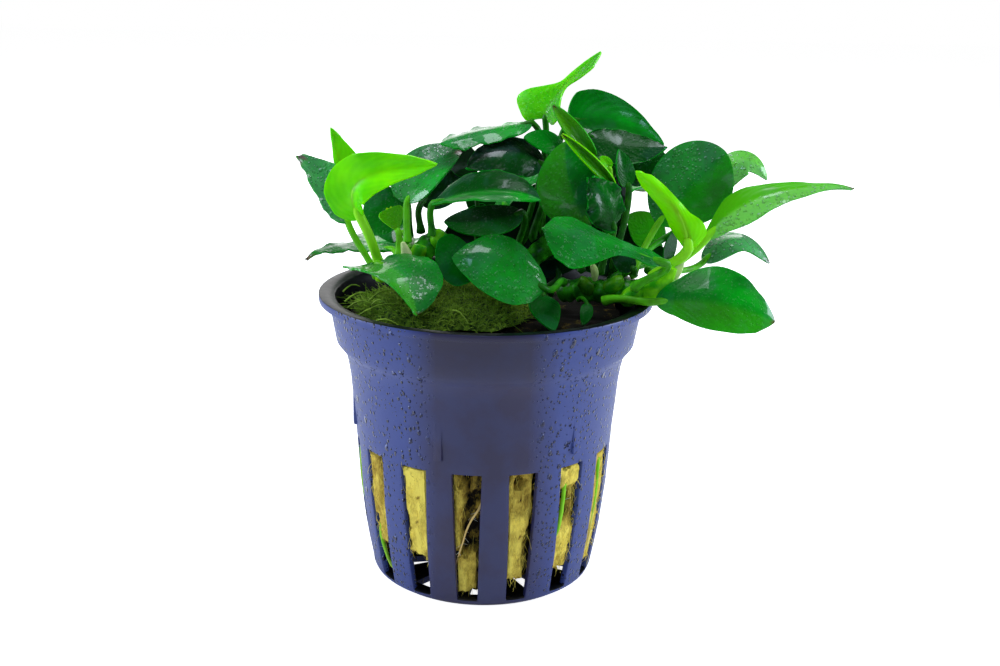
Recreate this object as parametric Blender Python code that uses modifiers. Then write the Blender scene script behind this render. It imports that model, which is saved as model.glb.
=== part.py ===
"""Potted petite anubias: a slotted net pot, its rock wool plug, moss, roots, rhizomes and leaves.

World axes: +Z up, +X to the right of the front view, +Y to the back. The origin is the centre of
the pot's foot. Positions and sizes below are real millimetres and become metres on the way in.
"""
import math
from collections import namedtuple

import bmesh
import bpy
from mathutils import Matrix, Vector

MM = 0.001

# Net pot
POT_HEIGHT = 48.5
RIM_RADIUS = 27.5
RIM_THICKNESS = 1.2
RIM_EDGE = 0.3
MOUTH_RADIUS = 25.6
MOUTH_DEPTH = 2.2
FOOT_RADIUS = 18.0
FLOOR = 1.2
WALL = 1.1
POT_STEPS = 45
# Radius and height down the outer wall: collar, slanted shoulder, then the tapering body
OUTER_WALL = [(25.5, 47.3), (25.4, 45.0), (24.7, 41.0), (23.2, 39.0), (22.4, 34.8), (21.6, 25.5),
              (21.0, 16.0), (20.2, 9.0), (18.9, 1.3)]

# Wall slots: pitch, first centre (turned from the front towards +X) and half widths at top and foot
SLOT_COUNT = 15
SLOT_PITCH = 360.0 / SLOT_COUNT
SLOT_START = -6.2
SLOT_TOP = 24.25
SLOT_FOOT = 1.7
SLOT_HALF_TOP = 2.3
SLOT_HALF_FOOT = 1.6
SLOT_CUT_INNER = 15.0
SLOT_CUT_OUTER = 26.0

# Floor slots: radial, narrow end towards the solid middle disc
FLOOR_SLOT_COUNT = 10
FLOOR_SLOT_INNER = 6.5
FLOOR_SLOT_OUTER = 15.8
FLOOR_SLOT_HALF_INNER = 0.8
FLOOR_SLOT_HALF_OUTER = 1.9

# Short upright ribs above the slots
RIB_COUNT = 6
RIB_START = -18.0
RIB_WIDTH = 1.35
RIB_FOOT = 26.3
RIB_TOP = 32.5
RIB_PROUD = 0.5
RIB_SUNK = 0.6

# Rock wool plug: it bulges into the slots that no root runs through, counted from the first slot
WOOL_SIDES = 2 * SLOT_COUNT
WOOL_TOP = 45.0
WOOL_HEIGHTS = (8.0, 13.0, 19.0, 27.0, 36.0, 43.0)
WOOL_CLEARANCE = 2.3
WOOL_BULGE = 1.6
WOOL_BULGE_SLOTS = (1, 4, 5, 6, 7, 8, 9, 10, 14)
WOOL_FOOT = 1.6
WOOL_FOOT_LIFT = 4.2
WOOL_FLOOR_RADII = (5.0, 12.0)
WOOL_SHOULDER = 2.5

# Moss mound on the left half of the plug
MOSS_SIDES = 20
MOSS_CENTRE = (-6.5, -6.0)
MOSS_RADII = (14.5, 12.0)
MOSS_HEIGHT = 4.2

GAP = 0.35
ROOT_RADIUS = 0.45
ROOT_DEPTH = 0.95

# Leaves: petiole and blade stations along their length, and the blade's half thickness
PETIOLE_RADIUS = 0.62
PETIOLE_STATIONS = (0.0, 0.5)
PETIOLE_STEP = 0.05
PETIOLE_REACH = 0.35
PETIOLE_RISE = 0.6
BLADE_STATIONS = (0.07, 0.21, 0.4, 0.58, 0.76, 0.9, 1.0)
BLADE_HALF_THICKNESS = 0.3
BLADE_THINNING = 0.5
BLADE_SHOULDER = 0.45
TIP_HALF_WIDTH = 0.3
OUTLINE_POWER = 1.25

# Material colours (linear), roughness
COLOURS = {
    "indigo_polypropylene": ((0.045, 0.05, 0.16), 0.35),
    "rock_wool": ((0.55, 0.44, 0.2), 0.95),
    "moss": ((0.05, 0.07, 0.015), 0.95),
    "rhizome_skin": ((0.06, 0.2, 0.02), 0.5),
    "root_skin": ((0.25, 0.42, 0.06), 0.5),
    "mature_leaf": ((0.01, 0.12, 0.015), 0.25),
    "young_leaf": ((0.2, 0.6, 0.01), 0.3),
}

# Rhizomes: centre line points with the radius there
RHIZOMES = {
    "rhizome_right": [(12.0, -2.0, 48.6, 1.5), (13.2, -2.6, 49.2, 1.9), (14.6, -3.1, 49.6, 1.7),
                      (16.2, -3.7, 49.7, 2.1), (17.8, -4.2, 49.7, 1.8), (19.4, -4.6, 49.7, 2.1),
                      (21.0, -5.0, 49.8, 1.8), (22.6, -5.5, 50.1, 1.9), (24.2, -6.1, 50.7, 1.5),
                      (25.8, -6.6, 51.3, 1.1)],
    "rhizome_left": [(-14.0, -6.0, 50.6, 1.4), (-13.4, -6.0, 51.6, 1.9), (-12.5, -6.0, 52.9, 1.7),
                     (-11.6, -5.8, 54.2, 2.0), (-10.6, -5.4, 55.4, 1.7), (-9.4, -4.8, 56.6, 1.9),
                     (-8.2, -4.1, 57.7, 1.6), (-7.0, -3.2, 58.6, 1.2)],
    "rhizome_middle": [(3.6, 6.6, 47.4, 1.4), (4.6, 6.7, 48.8, 1.9), (5.6, 6.8, 50.4, 1.7),
                       (6.9, 6.9, 51.8, 2.0), (8.3, 7.1, 53.1, 1.7), (9.9, 7.3, 54.3, 1.9),
                       (11.6, 7.5, 55.5, 1.7), (13.2, 7.7, 56.6, 1.2)],
}

# Roots: turn from the front towards +X and height of the points they run through
ROOTS = {
    "root_left_side": [(-78, 38), (-79, 31), (-78, 24), (-77, 16), (-79, 9)],
    "root_left_front": [(-52, 38), (-55, 30), (-58, 20), (-60, 10), (-56, 5.5), (-51, 3.5)],
    "root_front": [(8, 38), (4, 30), (0, 20), (-5, 14.5), (-9, 10.5), (-13, 7)],
    "root_right_front": [(50, 38), (49, 30), (46, 18), (42, 11), (37, 5.5)],
    "root_right_side": [(70, 38), (69, 30), (66, 20), (65, 12), (60, 6)],
}

# Leaves: age, width of the blade, cup in degrees (margins towards the upper face), the direction
# that the upper face looks in, the foot of the petiole, the heel where the blade starts, the middle
# of the midrib and the tip; then how far along the blade is widest, and how far its margins sweep
# back past the heel
Leaf = namedtuple("Leaf", "name age width cup face foot heel middle tip widest sweep",
                  defaults=(0.4, 0.0))

LEFT_LEAVES = [
    Leaf("leaf_left_young", "young", 9.4, 20, (-0.65, -0.75, 0.2),
         (-16.3, -7.8, 51.2), (-19.3, -11.0, 62.1), (-19.2, -11.8, 68.2), (-7.6, -14.0, 71.0), 0.4, 1.0),
    Leaf("leaf_left_upright_young", "young", 6.5, 10, (0.2, -1.0, 0.1),
         (-16.5, -3.0, 51.0), (-21.8, -1.0, 64.0), (-23.7, 0.0, 68.7), (-25.2, 0.0, 74.6)),
    Leaf("leaf_left_outer", "mature", 7.5, 10, (-0.3, -0.8, 0.5),
         (-17.2, -5.8, 51.0), (-22.1, -5.0, 60.4), (-24.8, -3.0, 65.4), (-30.5, -1.0, 70.3)),
    Leaf("leaf_left_low", "mature", 7.5, -5, (0.0, -0.1, 1.0),
         (-14.4, -3.0, 53.2), (-15.5, 0.8, 54.7), (-22.7, 1.8, 55.2), (-29.8, 0.0, 53.4)),
    Leaf("leaf_front_left", "mature", 12.0, 0, (0.0, -0.3, 0.95),
         (-13.9, -8.4, 52.6), (-16.8, -12.0, 55.4), (-12.4, -17.0, 54.8), (-9.9, -21.5, 49.8), 0.38, 3.0),
    Leaf("leaf_left_arched", "mature", 9.5, 10, (-0.5, -0.7, 0.5),
         (-12.6, -5.2, 57.0), (-12.8, -3.5, 63.3), (-10.1, -1.5, 68.4), (-4.3, 1.5, 71.6)),
    Leaf("leaf_left_shaded", "mature", 7.6, 10, (0.3, -0.9, 0.2),
         (-10.6, -3.0, 58.2), (-11.0, 3.0, 62.1), (-7.0, 5.5, 66.4), (-5.2, 6.0, 70.0)),
    Leaf("leaf_left_inner", "mature", 10.5, 20, (0.0, -0.45, 0.9),
         (-8.6, -6.6, 58.6), (-8.4, -8.0, 64.2), (0.5, -12.0, 67.1), (8.2, -13.0, 66.0)),
    Leaf("leaf_left_low_inner", "mature", 7.0, -5, (0.0, -1.0, 0.2),
         (-8.0, -7.3, 55.8), (-2.1, -9.4, 57.0), (-4.8, -11.0, 55.9), (-7.6, -12.0, 55.0)),
    Leaf("leaf_left_hanging", "mature", 8.0, 0, (-0.3, -0.9, 0.3),
         (-12.4, -2.8, 57.2), (-14.8, 3.0, 63.9), (-17.3, 3.0, 60.6), (-19.3, 3.0, 56.6)),
    Leaf("leaf_left_small_back", "mature", 5.0, 0, (0.0, -0.6, 0.8),
         (-12.2, -2.4, 55.0), (-14.0, 6.0, 56.6), (-16.2, 6.0, 56.9), (-18.4, 6.0, 56.0)),
    Leaf("leaf_left_small_front", "young", 4.5, 15, (0.3, -1.0, 0.2),
         (-13.9, -6.6, 55.6), (-14.0, -6.4, 59.6), (-15.0, -6.2, 61.4), (-15.9, -6.0, 62.9)),
    Leaf("leaf_back_left_low", "mature", 10.0, -8, (-0.2, 0.3, 0.9),
         (-11.4, -3.2, 52.4), (-15.0, 8.0, 54.0), (-19.0, 15.0, 55.0), (-24.0, 23.0, 52.5)),
]

MIDDLE_LEAVES = [
    Leaf("leaf_top_left_flat", "mature", 9.5, -10, (0.0, -0.15, 1.0),
         (6.0, 6.2, 54.6), (6.9, 1.2, 76.2), (-3.0, -1.0, 74.6), (-6.7, -3.0, 71.6), 0.55),
    Leaf("leaf_middle_dark", "mature", 8.0, -10, (0.0, -0.75, 0.65),
         (7.4, 4.5, 55.6), (9.1, -1.0, 69.4), (3.1, -3.5, 71.7), (-3.3, -5.0, 69.4)),
    Leaf("leaf_middle_low", "mature", 7.0, -5, (0.0, -0.8, 0.6),
         (4.6, 3.2, 53.4), (5.6, -0.5, 61.7), (-0.8, -4.2, 60.8), (-6.7, -6.2, 61.1)),
    Leaf("leaf_middle_hidden", "mature", 4.0, 0, (0.0, -0.8, 0.6),
         (10.9, 5.0, 56.3), (12.0, 0.2, 71.6), (9.1, -1.0, 73.3), (5.6, -1.8, 74.0)),
    Leaf("leaf_top_young", "young", 8.8, 20, (-0.5, -0.8, 0.3),
         (9.0, 5.8, 56.4), (9.1, 4.4, 76.2), (10.8, 3.6, 80.3), (17.7, 5.0, 87.1), 0.2, 2.0),
    Leaf("leaf_top_right_tall", "mature", 10.4, 0, (0.0, -0.9, 0.4),
         (12.6, 8.8, 58.4), (13.7, 8.0, 75.7), (21.3, 8.0, 75.9), (29.0, 6.0, 72.3), 0.38),
    Leaf("leaf_top_right_front", "mature", 7.0, 0, (0.0, -0.7, 0.7),
         (14.4, 6.8, 58.6), (16.3, 4.2, 73.8), (22.0, 2.5, 72.2), (28.5, 1.0, 72.5)),
    Leaf("leaf_top_narrow", "mature", 2.8, 20, (-0.3, -0.9, 0.4),
         (12.0, 5.6, 57.8), (17.2, 0.6, 70.4), (13.4, -0.3, 75.1), (10.1, -0.7, 78.9)),
    Leaf("leaf_middle_bud", "young", 1.8, 10, (0.2, -0.9, 0.3),
         (19.0, -1.2, 52.4), (19.4, -2.0, 69.2), (18.7, -2.4, 70.3), (17.7, -2.4, 71.2)),
    Leaf("leaf_back_left", "mature", 12.0, -8, (-0.1, 0.4, 0.9),
         (2.4, 7.5, 50.6), (3.0, 13.0, 60.0), (0.5, 20.5, 62.5), (-3.5, 30.0, 60.0)),
    Leaf("leaf_back_middle", "mature", 12.5, -8, (0.0, 0.4, 0.9),
         (8.4, 9.7, 54.3), (9.0, 14.0, 64.0), (10.0, 22.0, 66.0), (11.5, 32.0, 62.0)),
    Leaf("leaf_back_right", "mature", 11.5, -8, (0.2, 0.4, 0.9),
         (14.8, 9.6, 57.2), (18.0, 13.0, 62.0), (23.0, 19.5, 64.0), (29.0, 27.5, 61.0)),
    Leaf("leaf_back_low", "mature", 11.0, -8, (0.0, 0.3, 0.95),
         (5.6, 9.8, 51.2), (6.0, 16.0, 54.0), (5.0, 24.0, 55.5), (3.0, 33.0, 51.5)),
    Leaf("leaf_back_right_low", "mature", 10.5, -8, (0.2, 0.3, 0.9),
         (11.8, 10.0, 55.0), (16.0, 15.0, 55.0), (21.0, 22.0, 56.0), (27.0, 30.0, 52.5)),
    Leaf("leaf_back_left_inner", "mature", 10.5, -8, (-0.2, 0.3, 0.9),
         (1.3, 7.6, 46.8), (-6.0, 14.0, 51.5), (-10.0, 22.0, 52.5), (-14.0, 31.0, 50.5)),
]

RIGHT_LEAVES = [
    Leaf("leaf_front_glossy", "mature", 10.5, -8, (0.05, -0.95, 0.35),
         (12.6, -5.2, 51.0), (9.3, -15.0, 52.5), (2.7, -18.0, 56.5), (-5.0, -18.0, 57.8)),
    Leaf("leaf_middle_round", "mature", 12.0, -5, (-0.1, -0.95, 0.3),
         (15.3, -3.2, 52.2), (16.2, -3.0, 60.4), (13.3, -4.0, 67.3), (12.3, -2.0, 73.5)),
    Leaf("leaf_middle_folded", "mature", 7.8, 20, (0.2, -0.95, 0.2),
         (18.2, -4.6, 52.3), (20.0, -7.0, 60.6), (18.5, -8.2, 65.2), (15.7, -7.8, 68.4)),
    Leaf("leaf_middle_narrow", "young", 3.0, 20, (-0.3, -0.9, 0.4),
         (17.0, -2.0, 52.3), (20.1, -4.6, 66.8), (15.9, -6.2, 71.1), (11.4, -6.6, 75.1)),
    Leaf("leaf_middle_blue_edge", "mature", 3.6, 10, (0.4, -0.9, 0.2),
         (20.4, -3.2, 52.3), (22.4, -3.6, 66.7), (21.6, -4.0, 69.3), (20.6, -4.0, 72.6)),
    Leaf("leaf_pot_front", "mature", 5.0, 0, (0.2, -0.6, 0.7),
         (10.6, -4.4, 48.9), (9.1, -10.0, 50.4), (9.4, -13.0, 48.9), (10.8, -16.5, 46.4)),
    Leaf("leaf_pot_sprout", "mature", 2.0, 0, (0.0, -0.7, 0.6),
         (14.9, -6.0, 48.5), (15.9, -11.0, 49.4), (15.8, -12.6, 48.2), (15.2, -14.0, 46.7)),
    Leaf("leaf_right_glossy", "mature", 11.0, -20, (0.0, -0.7, 0.7),
         (23.2, -8.6, 51.0), (28.0, -12.2, 55.9), (16.0, -15.5, 62.2), (8.7, -17.0, 60.4), 0.62),
    Leaf("leaf_right_under", "mature", 3.4, 0, (0.0, -0.9, 0.4),
         (23.6, -5.6, 52.7), (23.6, -5.9, 53.8), (21.8, -5.8, 55.0), (20.0, -5.7, 55.5)),
    Leaf("leaf_right_low", "mature", 9.6, -5, (0.1, -0.9, 0.45),
         (18.4, -7.6, 48.6), (26.6, -11.0, 49.8), (35.6, -13.0, 50.3), (45.4, -12.0, 47.2), 0.52),
    Leaf("leaf_right_long", "mature", 7.5, -10, (-0.15, -0.5, 0.85),
         (27.8, -6.0, 51.8), (34.9, -5.0, 58.4), (42.9, -6.0, 64.9), (58.3, -4.0, 66.9), 0.36),
    Leaf("leaf_right_round", "mature", 14.2, -5, (0.1, -0.85, 0.5),
         (23.6, -3.2, 51.4), (27.8, 1.0, 59.8), (32.8, 0.0, 66.7), (38.2, -1.0, 72.4), 0.5),
    Leaf("leaf_right_rolled_young", "young", 6.4, 15, (-0.2, -0.95, 0.2),
         (26.4, -7.4, 52.4), (30.6, -8.8, 57.0), (28.6, -9.8, 63.6), (23.0, -11.0, 70.0), 0.3, 1.5),
    Leaf("leaf_right_back_high", "mature", 7.0, -10, (0.1, -0.7, 0.7),
         (22.0, -2.2, 51.2), (38.1, 10.5, 62.6), (42.9, 11.5, 69.2), (47.4, 11.5, 65.8)),
    Leaf("leaf_right_back_low", "mature", 6.5, -10, (0.0, -0.3, 0.95),
         (26.8, -4.2, 51.4), (36.2, 4.0, 53.0), (41.9, 5.0, 57.0), (47.6, 5.0, 52.8)),
    Leaf("leaf_right_shaded", "mature", 6.0, 0, (0.0, -0.9, 0.4),
         (20.4, -1.6, 50.4), (29.3, 8.0, 54.8), (26.6, 8.0, 57.8), (23.7, 8.0, 60.0)),
    Leaf("leaf_right_edge_on", "mature", 2.5, 0, (0.5, -0.8, 0.2),
         (25.8, -4.6, 52.9), (30.1, 3.4, 53.0), (30.6, 3.6, 55.8), (31.1, 3.6, 58.6)),
]


def mm(point):
    """A point in millimetres as a vector in metres."""
    return Vector(point) * MM


def material(name):
    """The Principled material of that name, made once."""
    made = bpy.data.materials.get(name)
    if made:
        return made
    colour, roughness = COLOURS[name]
    made = bpy.data.materials.new(name)
    made.use_nodes = True
    shader = made.node_tree.nodes["Principled BSDF"]
    shader.inputs["Base Color"].default_value = (*colour, 1.0)
    shader.inputs["Roughness"].default_value = roughness
    shader.inputs["Metallic"].default_value = 0.0
    return made


def add_object(name, data, collection, slot=None):
    """Link an object that holds the given mesh or curve."""
    thing = bpy.data.objects.new(name, data)
    collection.objects.link(thing)
    if slot:
        data.materials.append(material(slot))
    return thing


def add_cutter(name, bm, cutters):
    """A hidden wire object that a Boolean modifier uses."""
    mesh = bpy.data.meshes.new(name)
    bm.to_mesh(mesh)
    bm.free()
    cutter = add_object(name, mesh, cutters)
    cutter.hide_render = True
    cutter.display_type = "WIRE"
    return cutter


def boolean(target, cutter, operation):
    """Add an exact Boolean modifier."""
    modifier = target.modifiers.new(cutter.name, "BOOLEAN")
    modifier.operation = operation
    modifier.object = cutter
    modifier.solver = "EXACT"


def shade_smooth(mesh, angle=40.0):
    """Smooth shading with the corners kept."""
    mesh.shade_smooth()
    mesh.set_sharp_from_angle(angle=math.radians(angle))


def turned(radius, degrees, height):
    """A point at a radius, turned from the front (-Y) towards +X."""
    turn = math.radians(degrees)
    return Vector((radius * math.sin(turn), -radius * math.cos(turn), height))


def outer_radius(height):
    """Radius of the pot's outer wall at a height."""
    for (r_high, z_high), (r_low, z_low) in zip(OUTER_WALL, OUTER_WALL[1:]):
        if height >= z_low:
            share = (height - z_low) / (z_high - z_low)
            return r_low + (r_high - r_low) * min(share, 1.0)
    return OUTER_WALL[-1][0]


def inner_radius(height):
    """Radius of the pot's inner wall at a height."""
    return outer_radius(height) - WALL


def wedge(bm, inner, outer, foot, top, half_inner, half_outer, degrees):
    """A box from the inner to the outer radius with a half width at each of its four edges."""
    made = bmesh.ops.create_cube(bm, size=2.0)["verts"]
    for vert in made:
        low = vert.co.z < 0
        near = vert.co.y > 0
        half = (half_inner if near else half_outer)[0 if low else 1]
        place = turned(inner if near else outer, 0.0, foot if low else top)
        place.x = math.copysign(half, vert.co.x)
        vert.co = place * MM
    bmesh.ops.rotate(bm, verts=made, cent=(0, 0, 0), matrix=turn_matrix(degrees))


def turn_matrix(degrees):
    """Rotation about +Z that carries the front towards +X."""
    return Matrix.Rotation(math.radians(degrees), 3, "Z")


def make_pot(parts, cutters):
    """The net pot: a turned profile with its slots cut and its ribs added."""
    rim_underside = POT_HEIGHT - RIM_THICKNESS
    mouth_foot = POT_HEIGHT - MOUTH_DEPTH
    inner_wall = [(r - WALL, z) for r, z in OUTER_WALL[1:-1]]
    profile = [(0.0, FLOOR), (OUTER_WALL[-1][0] - WALL, FLOOR), *reversed(inner_wall),
               (inner_radius(mouth_foot), mouth_foot), (MOUTH_RADIUS, POT_HEIGHT),
               (RIM_RADIUS - RIM_EDGE, POT_HEIGHT), (RIM_RADIUS, POT_HEIGHT - RIM_EDGE),
               (RIM_RADIUS, rim_underside), *OUTER_WALL,
               (FOOT_RADIUS, 0.0), (0.0, 0.0)]
    bm = bmesh.new()
    points = [bm.verts.new(mm((r, 0.0, z))) for r, z in profile]
    for start, end in zip(points, points[1:]):
        bm.edges.new((start, end))
    mesh = bpy.data.meshes.new("net_pot")
    bm.to_mesh(mesh)
    bm.free()
    pot = add_object("net_pot", mesh, parts, "indigo_polypropylene")
    screw = pot.modifiers.new("turned", "SCREW")
    screw.steps = POT_STEPS
    screw.render_steps = POT_STEPS
    screw.use_merge_vertices = True
    screw.merge_threshold = 0.00001
    screw.use_smooth_shade = True

    bm = bmesh.new()
    for index in range(RIB_COUNT):
        reach = outer_radius(RIB_FOOT) + RIB_PROUD
        half = (RIB_WIDTH / 2, RIB_WIDTH / 2)
        wedge(bm, outer_radius(RIB_FOOT) - RIB_SUNK, reach, RIB_FOOT, RIB_TOP, half, half,
              RIB_START + index * 360.0 / RIB_COUNT)
    boolean(pot, add_cutter("ribs", bm, cutters), "UNION")

    bm = bmesh.new()
    for index in range(SLOT_COUNT):
        half = (SLOT_HALF_FOOT, SLOT_HALF_TOP)
        wedge(bm, SLOT_CUT_INNER, SLOT_CUT_OUTER, SLOT_FOOT, SLOT_TOP, half, half,
              SLOT_START + index * SLOT_PITCH)
    boolean(pot, add_cutter("wall_slots", bm, cutters), "DIFFERENCE")

    bm = bmesh.new()
    for index in range(FLOOR_SLOT_COUNT):
        inner = (FLOOR_SLOT_HALF_INNER, FLOOR_SLOT_HALF_INNER)
        outer = (FLOOR_SLOT_HALF_OUTER, FLOOR_SLOT_HALF_OUTER)
        wedge(bm, FLOOR_SLOT_INNER, FLOOR_SLOT_OUTER, -FLOOR, FLOOR * 2, inner, outer,
              index * 360.0 / FLOOR_SLOT_COUNT)
    boolean(pot, add_cutter("floor_slots", bm, cutters), "DIFFERENCE")


def loft(name, rings, parts, slot):
    """A closed body through rings of equal count, its ends capped."""
    bm = bmesh.new()
    rows = [[bm.verts.new(point * MM) for point in ring] for ring in rings]
    count = len(rows[0])
    for low, high in zip(rows, rows[1:]):
        for index in range(count):
            after = (index + 1) % count
            bm.faces.new((low[index], low[after], high[after], high[index]))
    bm.faces.new(list(reversed(rows[0])))
    bm.faces.new(rows[-1])
    bmesh.ops.recalc_face_normals(bm, faces=bm.faces)
    bmesh.ops.triangulate(bm, faces=[face for face in bm.faces if len(face.verts) > 4])
    mesh = bpy.data.meshes.new(name)
    bm.to_mesh(mesh)
    bm.free()
    shade_smooth(mesh)
    return add_object(name, mesh, parts, slot)


def wool_radius(step, height):
    """Radius of the plug at a half slot pitch: clear of the roots, or bulging into a slot."""
    bulging = step % 2 == 0 and step // 2 in WOOL_BULGE_SLOTS
    return inner_radius(height) - WOOL_CLEARANCE + (WOOL_BULGE if bulging else 0.0)


def wool_foot(degrees):
    """Height of the plug's ragged lower edge."""
    wave = 0.5 + 0.3 * math.sin(math.radians(degrees * 3.0 + 40.0))
    wave += 0.2 * math.sin(math.radians(degrees * 8.0))
    return WOOL_FOOT + WOOL_FOOT_LIFT * wave


def make_wool(parts):
    """The plug, from the middle of its foot up the side to the middle of its top."""
    turns = [SLOT_START + step * SLOT_PITCH / 2 for step in range(WOOL_SIDES)]
    rings = [[turned(radius, turn, WOOL_FOOT) for turn in turns] for radius in WOOL_FLOOR_RADII]
    rings.append([turned(wool_radius(step, WOOL_HEIGHTS[0]) - WOOL_SHOULDER, turn, wool_foot(turn))
                  for step, turn in enumerate(turns)])
    for height in WOOL_HEIGHTS:
        rings.append([turned(wool_radius(step, height), turn, height)
                      for step, turn in enumerate(turns)])
    rings.append([turned(wool_radius(step, WOOL_HEIGHTS[-1]) - WOOL_SHOULDER, turn, WOOL_TOP)
                  for step, turn in enumerate(turns)])
    loft("rock_wool_plug", rings, parts, "rock_wool")


def make_moss(parts):
    """The moss mound: a lumpy dome whose underside lies on the plug."""
    foot = WOOL_TOP + GAP
    rings = []
    for spread, rise in ((0.94, 0.0), (1.0, 0.22), (0.86, 0.62), (0.58, 0.9), (0.25, 1.0)):
        ring = []
        for index in range(MOSS_SIDES):
            turn = math.radians(index * 360.0 / MOSS_SIDES)
            lump = 1.0 + 0.05 * math.sin(turn * 5.0 + rise * 3.0)
            ring.append(Vector((MOSS_CENTRE[0] + MOSS_RADII[0] * spread * lump * math.cos(turn),
                                MOSS_CENTRE[1] + MOSS_RADII[1] * spread * lump * math.sin(turn),
                                foot + MOSS_HEIGHT * rise * (0.5 + 0.5 * lump))))
        rings.append(ring)
    loft("moss_mound", rings, parts, "moss")


def tube(name, points, radii, sides_level, parts, slot):
    """A tube along points, its ends filled; the radius may change on the way."""
    curve = bpy.data.curves.new(name, "CURVE")
    curve.dimensions = "3D"
    curve.bevel_depth = MM
    curve.bevel_resolution = sides_level
    curve.use_fill_caps = True
    spline = curve.splines.new("POLY")
    spline.points.add(len(points) - 1)
    for knot, point, radius in zip(spline.points, points, radii):
        knot.co = (*(point * MM), 1.0)
        knot.radius = radius
    return add_object(name, curve, parts, slot)


def make_rhizomes(parts):
    """Ringed creeping stems."""
    for name, line in RHIZOMES.items():
        points = [Vector(point[:3]) for point in line]
        tube(name, points, [point[3] for point in line], 2, parts, "rhizome_skin")


def make_roots(parts):
    """Roots that run down between the plug and the pot's wall."""
    for name, line in ROOTS.items():
        points = [turned(inner_radius(height) - ROOT_DEPTH, turn, height) for turn, height in line]
        tube(name, points, [ROOT_RADIUS] * len(points), 1, parts, "root_skin")


def bezier(p0, p1, p2, p3, share):
    """Point on a cubic curve."""
    rest = 1.0 - share
    return p0 * rest**3 + p1 * 3 * rest**2 * share + p2 * 3 * rest * share**2 + p3 * share**3


def blade_half_width(share, leaf):
    """Half width of a blade, from its heel at 0 to its tip at 1."""
    base_power = OUTLINE_POWER * leaf.widest
    tip_power = OUTLINE_POWER - base_power
    here = share**base_power * (1.0 - share)**tip_power
    most = leaf.widest**base_power * (1.0 - leaf.widest)**tip_power
    return max(leaf.width / 2 * here / most, TIP_HALF_WIDTH)


def petiole_section(centre, side, normal, radius):
    """Six points round a petiole, in the order of the blade's section."""
    ring = []
    for degrees in (180, 120, 60, 0, -60, -120):
        turn = math.radians(degrees)
        ring.append(centre + side * (radius * math.cos(turn)) + normal * (radius * math.sin(turn)))
    return ring


def blade_section(centre, side, normal, along, half, cup, thickness, sweep):
    """Six points round a blade: margin, two above, margin, two below."""
    margin = math.tan(math.radians(cup)) * half
    shoulder = margin * BLADE_SHOULDER**1.5
    ring = []
    for across, rise in ((-1.0, margin), (-BLADE_SHOULDER, shoulder + thickness),
                         (BLADE_SHOULDER, shoulder + thickness), (1.0, margin),
                         (BLADE_SHOULDER, shoulder - thickness),
                         (-BLADE_SHOULDER, shoulder - thickness)):
        ring.append(centre + side * (half * across) + normal * rise - along * (sweep * across**2))
    return ring


def midrib(leaf, share):
    """Point and direction on the arch from the heel through the middle to the tip."""
    heel, middle, tip = Vector(leaf.heel), Vector(leaf.middle), Vector(leaf.tip)
    bend = middle * 2.0 - (heel + tip) * 0.5
    rest = 1.0 - share
    centre = heel * rest**2 + bend * (2 * rest * share) + tip * share**2
    return centre, ((bend - heel) * rest + (tip - bend) * share).normalized()


def make_leaf(parts, leaf):
    """One leaf: a round petiole that runs into a cupped blade."""
    face = Vector(leaf.face).normalized()
    start = midrib(leaf, 0.0)[1]
    foot, heel = Vector(leaf.foot), Vector(leaf.heel)
    stem = heel - foot
    arrive = (start + stem.normalized()).normalized()
    leave = (stem.normalized() + Vector((0.0, 0.0, PETIOLE_RISE))).normalized()
    lower = foot + leave * (stem.length * PETIOLE_REACH)
    upper = heel - arrive * (stem.length * PETIOLE_REACH)

    along = (arrive + start).normalized()
    normal = (face - along * face.dot(along)).normalized()
    petiole = [petiole_section(heel, along.cross(normal), normal, PETIOLE_RADIUS)]
    for share in reversed(PETIOLE_STATIONS):
        before = bezier(foot, lower, upper, heel, max(share - PETIOLE_STEP, 0.0))
        after = bezier(foot, lower, upper, heel, share + PETIOLE_STEP)
        along = (after - before).normalized()
        normal = (normal - along * normal.dot(along)).normalized()
        centre = bezier(foot, lower, upper, heel, share)
        petiole.append(petiole_section(centre, along.cross(normal), normal, PETIOLE_RADIUS))

    blade = []
    for share in BLADE_STATIONS:
        centre, along = midrib(leaf, share)
        normal = (face - along * face.dot(along)).normalized()
        half = blade_half_width(share, leaf)
        thickness = BLADE_HALF_THICKNESS * (1.0 - BLADE_THINNING * share)
        sweep = leaf.sweep * (1.0 - share)**3
        blade.append(blade_section(centre, along.cross(normal), normal, along, half, leaf.cup,
                                   thickness, sweep))
    loft(leaf.name, [*reversed(petiole), *blade], parts, leaf.age + "_leaf")


def main():
    for old in list(bpy.data.objects):
        bpy.data.objects.remove(old)
    parts = bpy.data.collections.new("potted_petite_anubias")
    cutters = bpy.data.collections.new("cutters")
    bpy.context.scene.collection.children.link(parts)
    bpy.context.scene.collection.children.link(cutters)
    make_pot(parts, cutters)
    make_wool(parts)
    make_moss(parts)
    make_roots(parts)
    make_rhizomes(parts)
    for leaf in (*LEFT_LEAVES, *MIDDLE_LEAVES, *RIGHT_LEAVES):
        make_leaf(parts, leaf)


main()
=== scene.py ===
"""Potted petite anubias: plant, moss, rock wool and slotted net pot, finished, on a plain stage.

World axes: +Z up, +X to the right of the front view, +Y to the back, origin at the centre of the
pot's foot. Places and sizes below are real millimetres and become metres on the way in.
"""

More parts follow.
